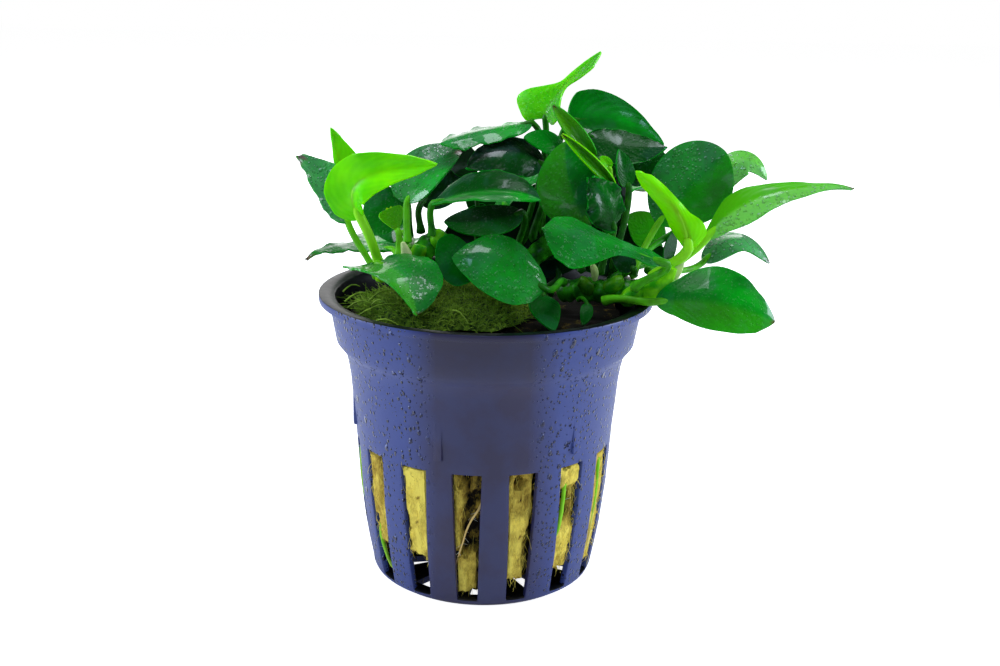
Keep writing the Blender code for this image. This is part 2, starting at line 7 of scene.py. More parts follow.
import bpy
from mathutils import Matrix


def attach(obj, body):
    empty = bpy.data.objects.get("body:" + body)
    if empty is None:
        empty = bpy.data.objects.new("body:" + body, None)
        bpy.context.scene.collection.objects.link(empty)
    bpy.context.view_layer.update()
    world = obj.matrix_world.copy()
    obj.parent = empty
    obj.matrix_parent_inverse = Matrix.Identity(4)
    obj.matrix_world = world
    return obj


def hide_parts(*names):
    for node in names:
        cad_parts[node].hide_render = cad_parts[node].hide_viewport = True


bl_info = {
    "name": "Potted Petite Anubias",
    "version": (1, 0, 0),
    "blender": (4, 5, 0),
    "location": "View3D > Sidebar > Anubias",
    "description": "Models a petite anubias in a slotted net pot around its packed frame",
    "category": "Object",
}

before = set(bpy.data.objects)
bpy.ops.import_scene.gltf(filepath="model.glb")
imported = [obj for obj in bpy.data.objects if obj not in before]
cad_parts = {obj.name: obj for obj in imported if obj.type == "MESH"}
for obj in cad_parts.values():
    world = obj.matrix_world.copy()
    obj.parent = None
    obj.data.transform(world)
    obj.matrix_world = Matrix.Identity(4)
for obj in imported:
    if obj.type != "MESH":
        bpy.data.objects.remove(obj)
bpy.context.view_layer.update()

import math
import random
from typing import NamedTuple

import bmesh
import bpy
from mathutils import Matrix, Vector, noise

MM = 0.001
BODY = "root"
COLLECTION = "potted_petite_anubias"
MERGE = 0.000002                # metres
STRAND_TAPER = 0.6

# Net pot: the middle of its wall from the floor's centre out, up the side and over the rim
WALL = 1.1
POT_MIDLINE = [(0.0, 0.55), (6.0, 0.55), (12.0, 0.55), (17.2, 0.55), (18.2, 1.25), (18.4, 1.7),
               (19.0, 5.0), (19.65, 9.0), (20.05, 12.5), (20.45, 16.0), (20.7, 20.0),
               (21.0, 24.25), (21.1, 26.3), (21.45, 30.0), (21.85, 34.8), (22.2, 37.0),
               (22.65, 39.0), (23.3, 39.9), (24.15, 41.0), (24.5, 43.0), (24.85, 45.0),
               (24.95, 46.6), (25.25, 47.6), (26.2, 47.95), (27.45, 47.95)]
SLOT_COUNT = 15
SLOT_PITCH = 360.0 / SLOT_COUNT
SLOT_START = -6.2
SLOT_TOP = 24.25
SLOT_FOOT = 1.7
SLOT_HALF_TOP = 2.3
SLOT_HALF_FOOT = 1.6
SLOT_COLUMNS = 3
STRUT_COLUMNS = 5
FLOOR_SLOT_COUNT = 10
FLOOR_SLOT_INNER = 6.5
FLOOR_SLOT_OUTER = 15.8
FLOOR_SLOT_HALF_INNER = 0.8
FLOOR_SLOT_HALF_OUTER = 1.9
RIB_COUNT = 6
RIB_START = -18.0
RIB_WIDTH = 1.35
RIB_FOOT = 26.3
RIB_TOP = 32.5
RIB_PROUD = 0.5
RIB_SINK = 0.6                  # share of the wall that a rib reaches into
RIB_EDGE = 0.18
FLOOR_CUT = (-1.0, 2.4)         # heights between which the floor slots are cut
EDGE_ANGLE = 32.0
LINING_RIM = 48.2               # the rim is painted as dark as the shaded inside above this height
LINING_FLOOR = 2.5              # and the floor below this one
DRY_SHADED_FRONT = (7.0, 12.0)         # from the dry front's middle, painted as shade, to the wet sides, painted lighter as side light
COLLAR_PAINTED_SHADE = (39.4, 41.5)     # heights between which painted shade darkens the dry front further, up to the rim

# Side of a water bead on which its painted highlight sits, towards the light
BEAD_LIGHT = (-0.5, -0.3, 0.8)

# Rock wool plug
WOOL_TOP = 45.0
WOOL_BACK = 1.9                 # gap between the plug and the wall's inner face
WOOL_COLUMNS = 300
WOOL_ROWS = 96
WOOL_HOLLOW_SHADE = (-0.2, 0.12)        # how far the wool between the strips stands out, and its tone, near 0: painted shade
WOOL_FIBRE_POINTS = 5
WOOL_FIBRE_LEAST = 4
WOOL_ENDS = 0.1                 # share of the rows that close the plug at each end
WOOL_ROUND = 0.12               # share over which each end rounds off

# Moss mound
MOSS_CENTRE = (-6.5, -6.0)
MOSS_RADII = (14.5, 12.0)
MOSS_HEIGHT = 4.2
MOSS_FOOT = 45.35
MOSS_UNDER = 0.1                # share of the mat's rows that close it underneath
MOSS_COLUMNS = 96
MOSS_ROWS = 40
MOSS_HEART = 6.0                # depth under the mound's foot that the threads point away from
STRAND_RISE = 0.7
STRAND_RADIUS = 0.17
MOSS_STRANDS = [
    ((-23.2, -3.6, 48.6), (-20.6, -2.2, 49.2)), ((-22.4, -7.6, 48.0), (-18.9, -6.2, 49.0)),
    ((-19.6, -15.0, 47.6), (-13.5, -15.2, 49.8)), ((-18.4, -8.9, 48.6), (-14.6, -8.1, 50.0)),
    ((-4.9, -16.4, 49.2), (-2.4, -19.2, 48.0)), ((-21.6, -9.8, 47.6), (-18.0, -11.2, 48.8)),
    ((-16.9, -17.4, 47.4), (-12.9, -19.4, 47.6)), ((-17.6, -12.0, 48.8), (-15.2, -13.6, 49.4)),
]


class Patch(NamedTuple):
    """A strip of wool in a wall slot: its span across and up, how far out it stands, its tone; a
    tone near 0 is painted shade in a hollow.
    """

    slot: int
    left: float
    right: float
    low: float
    high: float
    out: float
    tone: float


# Strips that stand back with a tone near 0 are painted shade in hollows
WOOL_PATCHES = [
    Patch(12, -2.3, 2.3, 4.0, 24.4, 1.8, 0.3),
    Patch(13, -2.3, 2.5, 8.0, 24.5, 2.7, 0.64),
    Patch(13, 0.5, 2.4, 15.5, 24.4, 2.3, 0.34),
    Patch(13, -2.4, -1.0, 3.0, 12.5, -0.2, 0.12),
    Patch(14, -2.7, 2.6, 16.0, 24.6, 2.7, 0.95),
    Patch(14, -1.8, 2.5, 8.2, 17.5, 2.6, 0.9),
    Patch(14, 0.5, 2.2, 7.0, 9.0, 1.8, 0.75),
    Patch(0, -2.6, -0.3, 16.0, 24.5, 2.0, 0.62),
    Patch(0, -2.6, -0.9, 10.0, 17.0, 2.0, 0.66),
    Patch(0, 0.2, 2.5, 20.4, 24.5, 1.2, 0.3),
    Patch(0, -1.1, 0.4, 21.8, 24.4, -0.4, 0.1),
    Patch(0, -0.3, 2.4, 15.6, 20.8, -0.6, 0.12),
    Patch(0, 1.1, 2.5, 17.2, 19.8, 0.8, 0.34),
    Patch(0, -0.7, 2.3, 9.8, 15.2, -1.0, 0.06),
    Patch(0, -1.9, 0.2, 2.0, 10.0, 1.9, 0.76),
    Patch(0, 0.0, 1.7, 2.6, 10.6, 1.4, 0.58),
    Patch(1, -2.4, 2.4, 15.0, 24.5, 1.7, 0.6),
    Patch(1, -0.9, 0.7, 21.4, 23.2, -0.4, 0.16),
    Patch(1, -2.4, 1.5, 4.6, 17.0, 2.3, 0.82),
    Patch(1, 0.9, 2.1, 6.0, 13.0, 0.8, 0.4),
    Patch(2, -2.4, 2.4, 5.0, 21.0, 2.3, 0.62),
    Patch(2, -2.4, 2.4, 20.4, 24.5, 2.6, 0.9),
    Patch(2, -1.6, 0.4, 14.5, 20.4, 0.6, 0.16),
    Patch(2, 0.9, 2.4, 13.5, 20.2, 2.0, 0.4),
    Patch(2, -2.0, 2.2, 7.5, 13.0, 2.6, 0.88),
    Patch(3, -2.5, 2.5, 13.0, 24.5, 2.7, 0.7),
    Patch(3, -2.2, 2.2, 3.6, 13.4, 2.7, 0.78),
]
for hidden_slot in range(4, 12):
    split = 8.0 + hidden_slot * 5 % 11
    WOOL_PATCHES.append(Patch(hidden_slot, -2.6, 2.5, split - 0.6, 24.4, 2.4, 0.62))
    WOOL_PATCHES.append(Patch(hidden_slot, -2.3, 2.2, 3.0 + hidden_slot % 2, split, 2.2, 0.75))
# Height of the wool's lower edge behind each wall slot
WOOL_FEET = (2.0, 4.2, 4.9, 3.4, 2.6, 3.4, 2.4, 3.0, 2.2, 3.2, 2.6, 3.0, 3.8, 7.0, 7.6)

# Rhizomes: centre line points with the radius there
RHIZOMES = {
    "rhizome_right": [(12.0, -2.0, 48.6, 1.5), (13.2, -2.6, 49.2, 1.9), (14.6, -3.1, 49.6, 1.7),
                      (16.2, -3.7, 49.7, 2.1), (17.8, -4.2, 49.7, 1.8), (19.4, -4.6, 49.7, 2.1),
                      (21.0, -5.0, 49.8, 1.8), (22.6, -5.5, 50.1, 1.9), (24.2, -6.1, 50.7, 1.5),
                      (25.8, -6.6, 51.3, 1.1)],
    "rhizome_left": [(-14.0, -6.0, 50.6, 1.4), (-13.4, -6.0, 51.6, 1.9), (-12.5, -6.0, 52.9, 1.7),
                     (-11.6, -5.8, 54.2, 2.0), (-10.6, -5.4, 55.4, 1.7), (-9.4, -4.8, 56.6, 1.9),
                     (-8.2, -4.1, 57.7, 1.6), (-7.0, -3.2, 58.6, 1.2)],
    "rhizome_middle": [(3.6, 6.6, 47.4, 1.4), (4.6, 6.7, 48.8, 1.9), (5.6, 6.8, 50.4, 1.7),
                       (6.9, 6.9, 51.8, 2.0), (8.3, 7.1, 53.1, 1.7), (9.9, 7.3, 54.3, 1.9),
                       (11.6, 7.5, 55.5, 1.7), (13.2, 7.7, 56.6, 1.2)],
}
RHIZOME_SIDES = 24
RHIZOME_STEPS = 6
RHIZOME_RING = 0.06
RHIZOME_ENDS = (0.0, 0.7, 0.92)  # how much of its radius is left at its first and last rings


class Root(NamedTuple):
    """A root's points: turn from the front, height and depth behind the wall's inner face.

    In a slot it lies in the opening, where the depth is negative. Below the height green its skin
    turns pale by the share pale.
    """

    line: list
    thick: float
    pale: float
    green: float


ROOTS = {
    "root_left_side": Root([(-78, 38, 0.95), (-79, 31, 0.95), (-77.5, 25, 0.6), (-77, 22, -0.6),
                            (-77, 14, -0.7), (-78, 9, 0.3)], 0.42, 0.2, 30.0),
    "root_left_front": Root([(-52, 38, 0.95), (-55, 30, 0.95), (-58, 20, 0.95), (-59.5, 13, 0.8),
                             (-57.5, 9.8, -0.5), (-56, 6.5, -0.5), (-53, 3.8, -0.3),
                             (-50, 2.8, 0.6)], 0.4, 0.35, 5.0),
    "root_front": Root([(8, 38, 0.95), (5, 30, 0.95), (2.5, 22, 0.95), (0.5, 19.4, 0.5),
                        (-1.5, 17.8, 0.0), (-4.5, 16, 0.0), (-6.8, 14, 0.0), (-8.4, 12, 0.0),
                        (-9.8, 10.4, 0.0), (-11.5, 8.4, 0.6), (-13, 7, 0.95)], 0.2, 1.0, 32.0),
    "root_right_front": Root([(50, 38, 0.95), (47, 30, 0.95), (42, 25, 0.95), (40.5, 21, 0.0),
                              (39.2, 17, -0.4), (37.6, 12.5, -0.4), (34, 9, 0.5),
                              (32, 5.5, 0.95)], 0.42, 0.8, 8.0),
    "root_right_side": Root([(70, 38, 0.95), (68, 30, 0.95), (66, 26, 0.8), (65, 23, -0.4),
                             (64.6, 18, -0.7), (64, 12, -0.7), (63.6, 7, -0.7), (62, 3.4, 0.3)],
                            0.42, 0.85, 12.5),
}
ROOT_SIDES = 12
ROOT_STEPS = 8
ROOT_TAPER = 0.35
ROOT_FADE = 4.0                 # above and below its height green the root changes colour
ROOT_HAIRS = 26
HAIR_RADIUS = 0.03

# Leaves
BLADE_COLUMNS = 24
BLADE_ROWS = 36
BLADE_THICKNESS = 0.32
OUTLINE_POWER = 1.25
TIP_HALF_WIDTH = 0.12
STALK_SIDES = 12
STALK_STEPS = 16
STALK_REACH = 0.35
STALK_RISE = 0.6
STALK_FOOT = 1.3                # its radius at its foot and its heel, against the leaf's stalk
STALK_HEEL = 0.9
MIDRIB_REACH = 0.86
WAVES = (19.0, 43.0)            # how fast the margin's large and small waves follow each other
BLADE_UNEVEN = 0.12
HOOK_START = 0.88
VEIN_PHASE = 75.0               # about 12 side veins to a half
LEAF_CORNER = 60.0


class Leaf(NamedTuple):
    """One leaf, in millimetres and degrees. Of two numbers the first is the left half's.

    The left half is the one on the left of someone who looks at the upper face with the tip up.
    """

    name: str
    age: str
    width: float
    cup: float                  # lift of both halves towards the upper face
    face: tuple                 # where the upper face looks
    foot: tuple                 # where the stalk leaves the rhizome
    heel: tuple                 # where the blade starts
    middle: tuple
    tip: tuple
    widest: float = 0.4         # how far along it is widest, if it has no outline
    outline: tuple = ()         # half widths at each eighth of the length, left and right
    sweep: tuple = (0.0, 0.0)   # how far each margin runs back past the heel
    fold: tuple = (0.0, 0.0)    # more lift of each half
    roll: tuple = (0.0, 0.0)    # how far each half bends on towards its margin
    hook: float = 0.0           # how far the last bit of the tip bends down
    wave: float = 0.0           # height of the margin's waves
    beads: tuple = (0.1, 0.1)   # how thickly water beads each half, and how much painted sheen they give
    brown: float = 0.0          # how far the tip has browned, as a share of the blade
    tone: tuple = (0.0, 0.0)    # green of each half: 1 still young, -1 deep, mostly painted shade and partly age
    stalk: float = 0.6
    stalk_tone: float = 0.4     # 1 for a young stalk, 0 for an old one, below 0 painted shade


LEFT_LEAVES = [
    Leaf("leaf_left_young", "young", 9.4, 20, (-0.65, -0.75, 0.2),
         (-16.3, -7.8, 51.2), (-19.3, -11.0, 62.1), (-19.2, -11.8, 68.2), (-7.6, -14.0, 71.0),
         outline=((3.4, 4.4, 4.4, 3.9, 3.2, 2.5, 1.6), (2.2, 3.8, 4.6, 4.4, 3.4, 2.6, 1.7)),
         wave=0.12, beads=(0.0, 0.0), stalk=0.85, stalk_tone=1.0),
    Leaf("leaf_left_upright_young", "young", 6.5, 10, (0.2, -1.0, 0.1),
         (-16.5, -3.0, 51.0), (-21.8, -1.0, 64.0), (-23.7, 0.0, 68.7), (-25.2, 0.0, 74.6),
         outline=((0.7, 1.0, 1.1, 1.0, 0.8, 0.5, 0.3), (2.2, 3.0, 3.2, 3.1, 2.7, 2.0, 1.2)),
         beads=(0.0, 0.0), stalk_tone=0.8),
    Leaf("leaf_left_outer", "mature", 7.5, 10, (-0.3, -0.8, 0.5),
         (-17.2, -5.8, 51.0), (-22.1, -5.0, 60.4), (-24.8, -3.0, 65.4), (-30.5, -1.0, 70.3),
         outline=((2.4, 2.8, 2.8, 2.7, 2.4, 1.9, 1.2), (2.8, 3.5, 3.7, 3.6, 3.2, 2.4, 1.4)),
         roll=(25, -20), hook=0.6, wave=0.25, beads=(0.9, 0.9), brown=0.06),
    Leaf("leaf_left_low", "mature", 4.9, -5, (0.0, -0.1, 1.0),
         (-14.4, -3.0, 53.2), (-15.5, 0.8, 54.9), (-22.7, 1.8, 55.3), (-29.8, 0.0, 53.9),
         hook=1.0, wave=0.2, beads=(0.5, 0.5), brown=0.06),
    Leaf("leaf_front_left", "mature", 12.0, 0, (0.0, -0.3, 0.95),
         (-13.9, -8.4, 52.6), (-16.8, -12.0, 55.4), (-12.4, -17.0, 54.8), (-9.9, -21.5, 49.8),
         outline=((4.4, 5.6, 6.2, 6.3, 6.0, 5.0, 3.2), (2.8, 4.5, 4.3, 3.4, 2.7, 2.0, 1.2)),
         sweep=(3.0, 9.5), fold=(6, -8), roll=(-20, 15), wave=0.2, beads=(0.4, 0.3),
         tone=(-0.05, 0.15), brown=0.012),
    Leaf("leaf_left_arched", "mature", 9.5, 10, (-0.5, -0.7, 0.5),
         (-12.6, -5.2, 57.0), (-12.8, -3.5, 63.3), (-10.1, -1.5, 68.4), (-4.3, 1.5, 71.6),
         hook=0.8, beads=(0.8, 0.5), brown=0.06, stalk=0.65, stalk_tone=0.3),
    Leaf("leaf_left_shaded", "mature", 7.6, 10, (0.3, -0.9, 0.2),
         (-10.6, -3.0, 58.2), (-11.0, 3.0, 62.1), (-7.0, 5.5, 66.4), (-5.2, 6.0, 70.0),
         tone=(-0.9, -0.9), stalk_tone=-0.7),
    Leaf("leaf_left_inner", "mature", 10.5, 20, (0.0, -0.45, 0.9),
         (-8.6, -6.6, 58.6), (-8.4, -8.0, 64.2), (0.5, -12.0, 67.1), (8.2, -13.0, 66.0),
         outline=((3.4, 4.4, 4.6, 4.3, 3.8, 3.2, 2.0), (2.0, 3.6, 4.6, 5.0, 4.8, 4.0, 2.4)),
         roll=(-25, 0), tone=(-0.8, -0.1), wave=0.12, stalk_tone=-0.35),
    Leaf("leaf_left_low_inner", "mature", 7.0, -5, (0.0, -1.0, 0.2),
         (-8.0, -7.3, 55.8), (-2.1, -9.4, 57.0), (-4.8, -11.0, 55.9), (-7.6, -12.0, 55.0),
         outline=((3.0, 3.8, 4.1, 4.1, 4.0, 3.6, 2.6), (3.0, 3.8, 4.1, 4.1, 4.0, 3.6, 2.6)),
         tone=(-0.6, -0.5), stalk_tone=-0.4),
    Leaf("leaf_left_hanging", "mature", 8.0, 0, (-0.3, -0.9, 0.3),
         (-12.4, -2.8, 57.2), (-14.8, 3.0, 63.9), (-17.3, 3.0, 60.6), (-19.3, 3.0, 56.6),
         tone=(-0.4, -0.5), stalk_tone=-0.3),
    Leaf("leaf_left_small_back", "mature", 5.0, 0, (0.0, -0.6, 0.8),
         (-12.2, -2.4, 55.0), (-14.0, 6.0, 56.6), (-16.2, 6.0, 56.9), (-18.4, 6.0, 56.0),
         tone=(-0.5, -0.5)),
    Leaf("leaf_left_small_front", "young", 4.0, 5, (0.3, -1.0, 0.2),
         (-13.9, -6.6, 55.6), (-13.9, -6.4, 59.2), (-14.7, -6.2, 61.2), (-15.4, -6.0, 62.9),
         0.8, tone=(-0.5, -0.5), stalk_tone=0.4),
    Leaf("leaf_back_left_low", "mature", 10.0, -8, (-0.2, 0.3, 0.9),
         (-11.4, -3.2, 52.4), (-15.0, 8.0, 54.0), (-19.0, 15.0, 55.0), (-24.0, 23.0, 52.5),
         wave=0.2, beads=(0.4, 0.4), brown=0.05, stalk_tone=0.0),
]

MIDDLE_LEAVES = [
    Leaf("leaf_top_left_flat", "mature", 9.5, -10, (0.0, -0.15, 1.0),
         (6.0, 6.2, 54.6), (6.9, 1.2, 76.0), (-1.6, -1.0, 74.7), (-7.5, -3.0, 73.0),
         outline=((2.4, 3.0, 3.1, 3.1, 3.1, 3.1, 2.6), (2.2, 3.0, 3.2, 3.2, 3.0, 2.8, 2.2)),
         roll=(-25, 0), wave=0.22, beads=(0.5, 0.8), stalk=0.55, stalk_tone=-0.6),
    Leaf("leaf_middle_dark", "mature", 8.0, -10, (0.0, -0.75, 0.65),
         (7.4, 4.5, 55.6), (9.1, -1.0, 69.4), (3.1, -3.5, 71.7), (-3.3, -5.0, 69.4),
         fold=(0, -5), tone=(-0.85, -1.0), wave=0.2, stalk_tone=-0.7),
    Leaf("leaf_middle_low", "mature", 5.8, -5, (0.0, -0.8, 0.6),
         (4.6, 3.2, 53.4), (5.6, -0.5, 61.7), (-0.8, -4.2, 60.8), (-6.7, -6.2, 61.1),
         fold=(10, 0), tone=(-0.5, -0.85), beads=(0.2, 0.2), stalk_tone=-0.6),
    Leaf("leaf_middle_hidden", "mature", 4.0, 0, (0.0, -0.8, 0.6),
         (10.9, 5.0, 56.3), (12.0, 0.2, 71.6), (9.1, -1.0, 73.3), (5.6, -1.8, 74.0),
         tone=(-0.3, -0.3), stalk_tone=-0.7),
    Leaf("leaf_top_young", "young", 8.8, 20, (-0.5, -0.8, 0.3),
         (9.0, 5.8, 56.4), (9.1, 4.4, 76.2), (10.8, 3.6, 80.3), (17.7, 5.0, 87.1),
         outline=((4.2, 5.6, 4.7, 2.7, 1.0, 0.7, 0.5), (2.8, 3.6, 3.0, 1.4, 0.5, 1.4, 1.8)),
         sweep=(3.0, 0.5), roll=(-30, 10), beads=(0.2, 0.5), tone=(0.0, -0.3), stalk_tone=-0.4),
    Leaf("leaf_top_right_tall", "mature", 10.4, 0, (0.0, -0.9, 0.4),
         (12.6, 8.8, 58.4), (13.3, 8.0, 75.5), (20.9, 8.0, 75.7), (28.8, 6.0, 72.2),
         outline=((4.6, 4.8, 4.4, 3.8, 3.0, 2.1, 1.1), (3.9, 4.9, 5.2, 5.0, 4.5, 3.6, 2.3)),
         roll=(25, 25), tone=(0.0, -0.4), beads=(0.0, 0.0), stalk_tone=-0.5),
    Leaf("leaf_top_right_front", "mature", 6.4, 0, (0.0, -0.86, 0.5),
         (14.4, 6.8, 58.6), (16.3, 4.2, 73.8), (22.0, 2.5, 72.2), (28.5, 1.0, 72.5),
         fold=(-12, 0), wave=0.2, tone=(-0.8, -0.8), beads=(0.1, 0.1), stalk=0.35,
         stalk_tone=-0.6),
    Leaf("leaf_top_narrow", "mature", 2.8, 20, (-0.3, -0.9, 0.4),
         (12.0, 5.6, 57.8), (17.2, 0.6, 70.4), (13.4, -0.3, 75.1), (10.1, -0.7, 78.9),
         fold=(10, 10), brown=0.05, tone=(0.4, 0.3), stalk_tone=-0.4),
    Leaf("leaf_middle_bud", "young", 1.8, 10, (0.2, -0.9, 0.3),
         (19.0, -1.2, 52.4), (19.4, -2.0, 69.2), (18.7, -2.4, 70.3), (17.7, -2.4, 71.2),
         stalk=0.45, stalk_tone=0.8),
    Leaf("leaf_back_left", "mature", 12.0, -8, (-0.1, 0.4, 0.9),
         (2.4, 7.5, 50.6), (3.0, 13.0, 60.0), (0.5, 20.5, 62.5), (-3.5, 30.0, 60.0),
         wave=0.2, beads=(0.3, 0.3), stalk_tone=0.0),
    Leaf("leaf_back_middle", "mature", 12.5, -8, (0.0, 0.4, 0.9),
         (8.4, 9.7, 54.3), (9.0, 14.0, 64.0), (10.0, 22.0, 66.0), (11.5, 32.0, 62.0),
         wave=0.2, beads=(0.5, 0.5), stalk_tone=0.0),
    Leaf("leaf_back_right", "mature", 11.5, -8, (0.2, 0.4, 0.9),
         (14.8, 9.6, 57.2), (18.0, 13.0, 62.0), (23.0, 19.5, 64.0), (29.0, 27.5, 61.0),
         wave=0.2, beads=(0.2, 0.2), brown=0.05, stalk_tone=0.0),
    Leaf("leaf_back_low", "mature", 11.0, -8, (0.0, 0.3, 0.95),
         (5.6, 9.8, 51.2), (6.0, 16.0, 54.0), (5.0, 24.0, 55.5), (3.0, 33.0, 51.5),
         wave=0.2, stalk_tone=0.0),
    Leaf("leaf_back_right_low", "mature", 10.5, -8, (0.2, 0.3, 0.9),
         (11.8, 10.0, 55.0), (16.0, 15.0, 55.0), (21.0, 22.0, 56.0), (27.0, 30.0, 52.5),
         wave=0.2, beads=(0.5, 0.5), stalk_tone=0.0),
    Leaf("leaf_back_left_inner", "mature", 10.5, -8, (-0.2, 0.3, 0.9),
         (1.3, 7.6, 46.8), (-6.0, 14.0, 51.5), (-10.0, 22.0, 52.5), (-14.0, 31.0, 50.5),
         wave=0.2, stalk_tone=0.0),
]

RIGHT_LEAVES = [
    Leaf("leaf_front_glossy", "mature", 10.5, -8, (0.05, -0.95, 0.35),
         (12.6, -5.2, 51.0), (9.3, -15.0, 52.5), (2.7, -18.0, 56.5), (-5.0, -18.0, 57.8),
         outline=((3.6, 4.6, 4.9, 4.8, 4.4, 3.6, 2.3), (2.9, 4.4, 5.2, 5.6, 5.4, 4.5, 2.9)),
         fold=(10, 0), roll=(0, -35), wave=0.15, beads=(0.35, 0.35), tone=(0.0, -0.2),
         stalk_tone=-0.2),
    Leaf("leaf_middle_round", "mature", 12.0, -5, (-0.1, -0.95, 0.3),
         (15.3, -3.2, 52.2), (16.2, -3.0, 60.4), (13.3, -4.0, 67.3), (12.3, -2.0, 73.5),
         roll=(-15, -10), beads=(0.15, 0.1), tone=(0.1, -0.2), stalk_tone=-0.5),
    Leaf("leaf_middle_folded", "mature", 7.8, 20, (0.2, -0.95, 0.2),
         (18.2, -4.6, 52.3), (20.0, -7.0, 60.6), (18.5, -8.2, 65.2), (15.7, -7.8, 68.4),
         outline=((2.9, 3.6, 3.9, 3.7, 3.2, 2.5, 1.6), (1.8, 2.4, 2.8, 3.0, 2.8, 2.2, 1.2)),
         fold=(15, -45), roll=(-50, 20), wave=0.6, tone=(-0.75, -0.6), stalk_tone=-0.6),
    Leaf("leaf_middle_narrow", "young", 2.0, 20, (-0.3, -0.9, 0.4),
         (17.0, -2.0, 52.3), (20.1, -4.6, 66.8), (15.9, -6.2, 71.1), (11.4, -6.6, 75.1),
         fold=(20, 20), brown=0.05, tone=(-0.4, -0.7), stalk_tone=-0.5),
    Leaf("leaf_middle_blue_edge", "mature", 3.2, 10, (0.4, -0.9, 0.2),
         (20.4, -3.2, 52.3), (22.4, -3.6, 66.7), (21.6, -4.0, 69.3), (20.6, -4.0, 72.6),
         tone=(-0.6, -0.6), stalk_tone=-0.6),
    Leaf("leaf_pot_front", "mature", 5.0, 0, (0.2, -0.6, 0.7),
         (10.6, -4.4, 48.9), (9.1, -10.0, 50.4), (9.4, -13.0, 48.9), (10.8, -16.5, 46.4),
         stalk=0.45, tone=(-0.5, -0.5), stalk_tone=-0.6),
    Leaf("leaf_pot_sprout", "mature", 2.0, 0, (0.0, -0.7, 0.6),
         (14.9, -6.0, 48.5), (15.9, -11.0, 49.4), (15.8, -12.6, 48.2), (15.2, -14.0, 46.7),
         stalk=0.35, tone=(-0.6, -0.6), stalk_tone=-0.4),
    Leaf("leaf_right_glossy", "mature", 11.0, -18, (0.0, -0.7, 0.7),
         (23.2, -8.6, 51.0), (28.0, -12.2, 56.2), (17.9, -15.0, 60.1), (8.6, -17.0, 62.2),
         outline=((1.3, 1.0, 1.4, 3.0, 4.4, 5.0, 4.1), (1.6, 1.5, 1.6, 2.2, 3.1, 3.8, 3.5)),
         wave=0.15, beads=(0.3, 0.3), tone=(-0.15, 0.0), stalk=0.75, stalk_tone=0.1),
    Leaf("leaf_right_under", "mature", 3.4, 0, (0.0, -0.9, 0.4),
         (23.6, -5.6, 52.7), (23.6, -5.9, 53.8), (21.8, -5.8, 55.0), (20.0, -5.7, 55.5),
         tone=(-0.9, -0.9), stalk_tone=-0.7),
    Leaf("leaf_right_low", "mature", 9.6, -5, (0.1, -0.9, 0.45),
         (18.4, -7.6, 48.6), (26.6, -11.0, 49.8), (35.6, -13.0, 50.3), (45.4, -12.0, 47.2),
         outline=((3.1, 4.7, 6.0, 6.7, 6.5, 5.6, 3.6), (2.2, 3.2, 3.9, 4.2, 4.1, 3.8, 3.0)),
         roll=(-20, -10), brown=0.015, beads=(0.1, 0.1), tone=(0.0, 0.1), stalk=0.7,
         stalk_tone=0.25),
    Leaf("leaf_right_long", "mature", 7.5, -10, (-0.15, -0.5, 0.85),
         (27.8, -6.0, 51.8), (34.9, -5.0, 58.8), (43.0, -6.0, 65.8), (58.2, -4.0, 67.7),
         outline=((2.0, 3.7, 4.3, 3.9, 2.8, 1.7, 0.8), (1.9, 2.8, 3.1, 2.7, 2.1, 1.5, 0.8)),
         fold=(0, -12), hook=0.8, wave=0.1, brown=0.02, beads=(0.0, 1.0), tone=(0.35, 0.65),
         stalk=0.75, stalk_tone=0.9),
    Leaf("leaf_right_round", "mature", 13.6, -5, (0.1, -0.85, 0.5),
         (23.6, -3.2, 51.4), (27.8, 1.0, 59.8), (32.8, 0.0, 66.7), (38.0, -1.0, 72.0), 0.5,
         roll=(-15, -20), beads=(0.6, 0.1), tone=(-0.05, 0.05)),
    Leaf("leaf_right_rolled_young", "young", 6.4, 15, (-0.2, -0.95, 0.2),
         (26.4, -7.4, 52.4), (31.6, -8.8, 58.0), (29.1, -9.8, 64.3), (22.6, -11.0, 70.0),
         outline=((1.9, 2.4, 2.3, 2.1, 1.9, 1.7, 1.4), (3.2, 2.9, 1.7, 1.3, 1.2, 1.2, 1.2)),
         fold=(-25, -20), roll=(-30, -30), wave=0.25, beads=(0.0, 0.0), tone=(0.9, 0.9),
         stalk=0.95, stalk_tone=1.0),
    Leaf("leaf_right_back_high", "mature", 5.2, -10, (0.1, -0.7, 0.7),
         (22.0, -2.2, 51.2), (38.1, 10.5, 62.6), (42.9, 11.5, 69.0), (47.4, 11.5, 65.8),
         beads=(0.85, 1.0), tone=(0.5, 0.4), stalk_tone=0.0),
    Leaf("leaf_right_back_low", "mature", 6.5, -10, (0.0, -0.3, 0.95),
         (26.8, -4.2, 51.4), (36.2, 4.0, 53.0), (41.9, 5.0, 57.0), (47.6, 5.0, 52.8),
         beads=(1.0, 1.0), brown=0.03, stalk_tone=0.2),
    Leaf("leaf_right_shaded", "mature", 6.0, 0, (0.0, -0.9, 0.4),
         (20.4, -1.6, 50.4), (29.3, 8.0, 54.8), (26.6, 8.0, 57.8), (23.7, 8.0, 60.0),
         tone=(0.2, 0.2), stalk_tone=-0.2),
    Leaf("leaf_right_edge_on", "mature", 2.5, 0, (0.5, -0.8, 0.2),
         (25.8, -4.6, 52.9), (30.1, 3.4, 53.0), (30.6, 3.6, 55.8), (31.1, 3.6, 58.6),
         tone=(-0.7, -0.7), stalk_tone=-0.4),
]
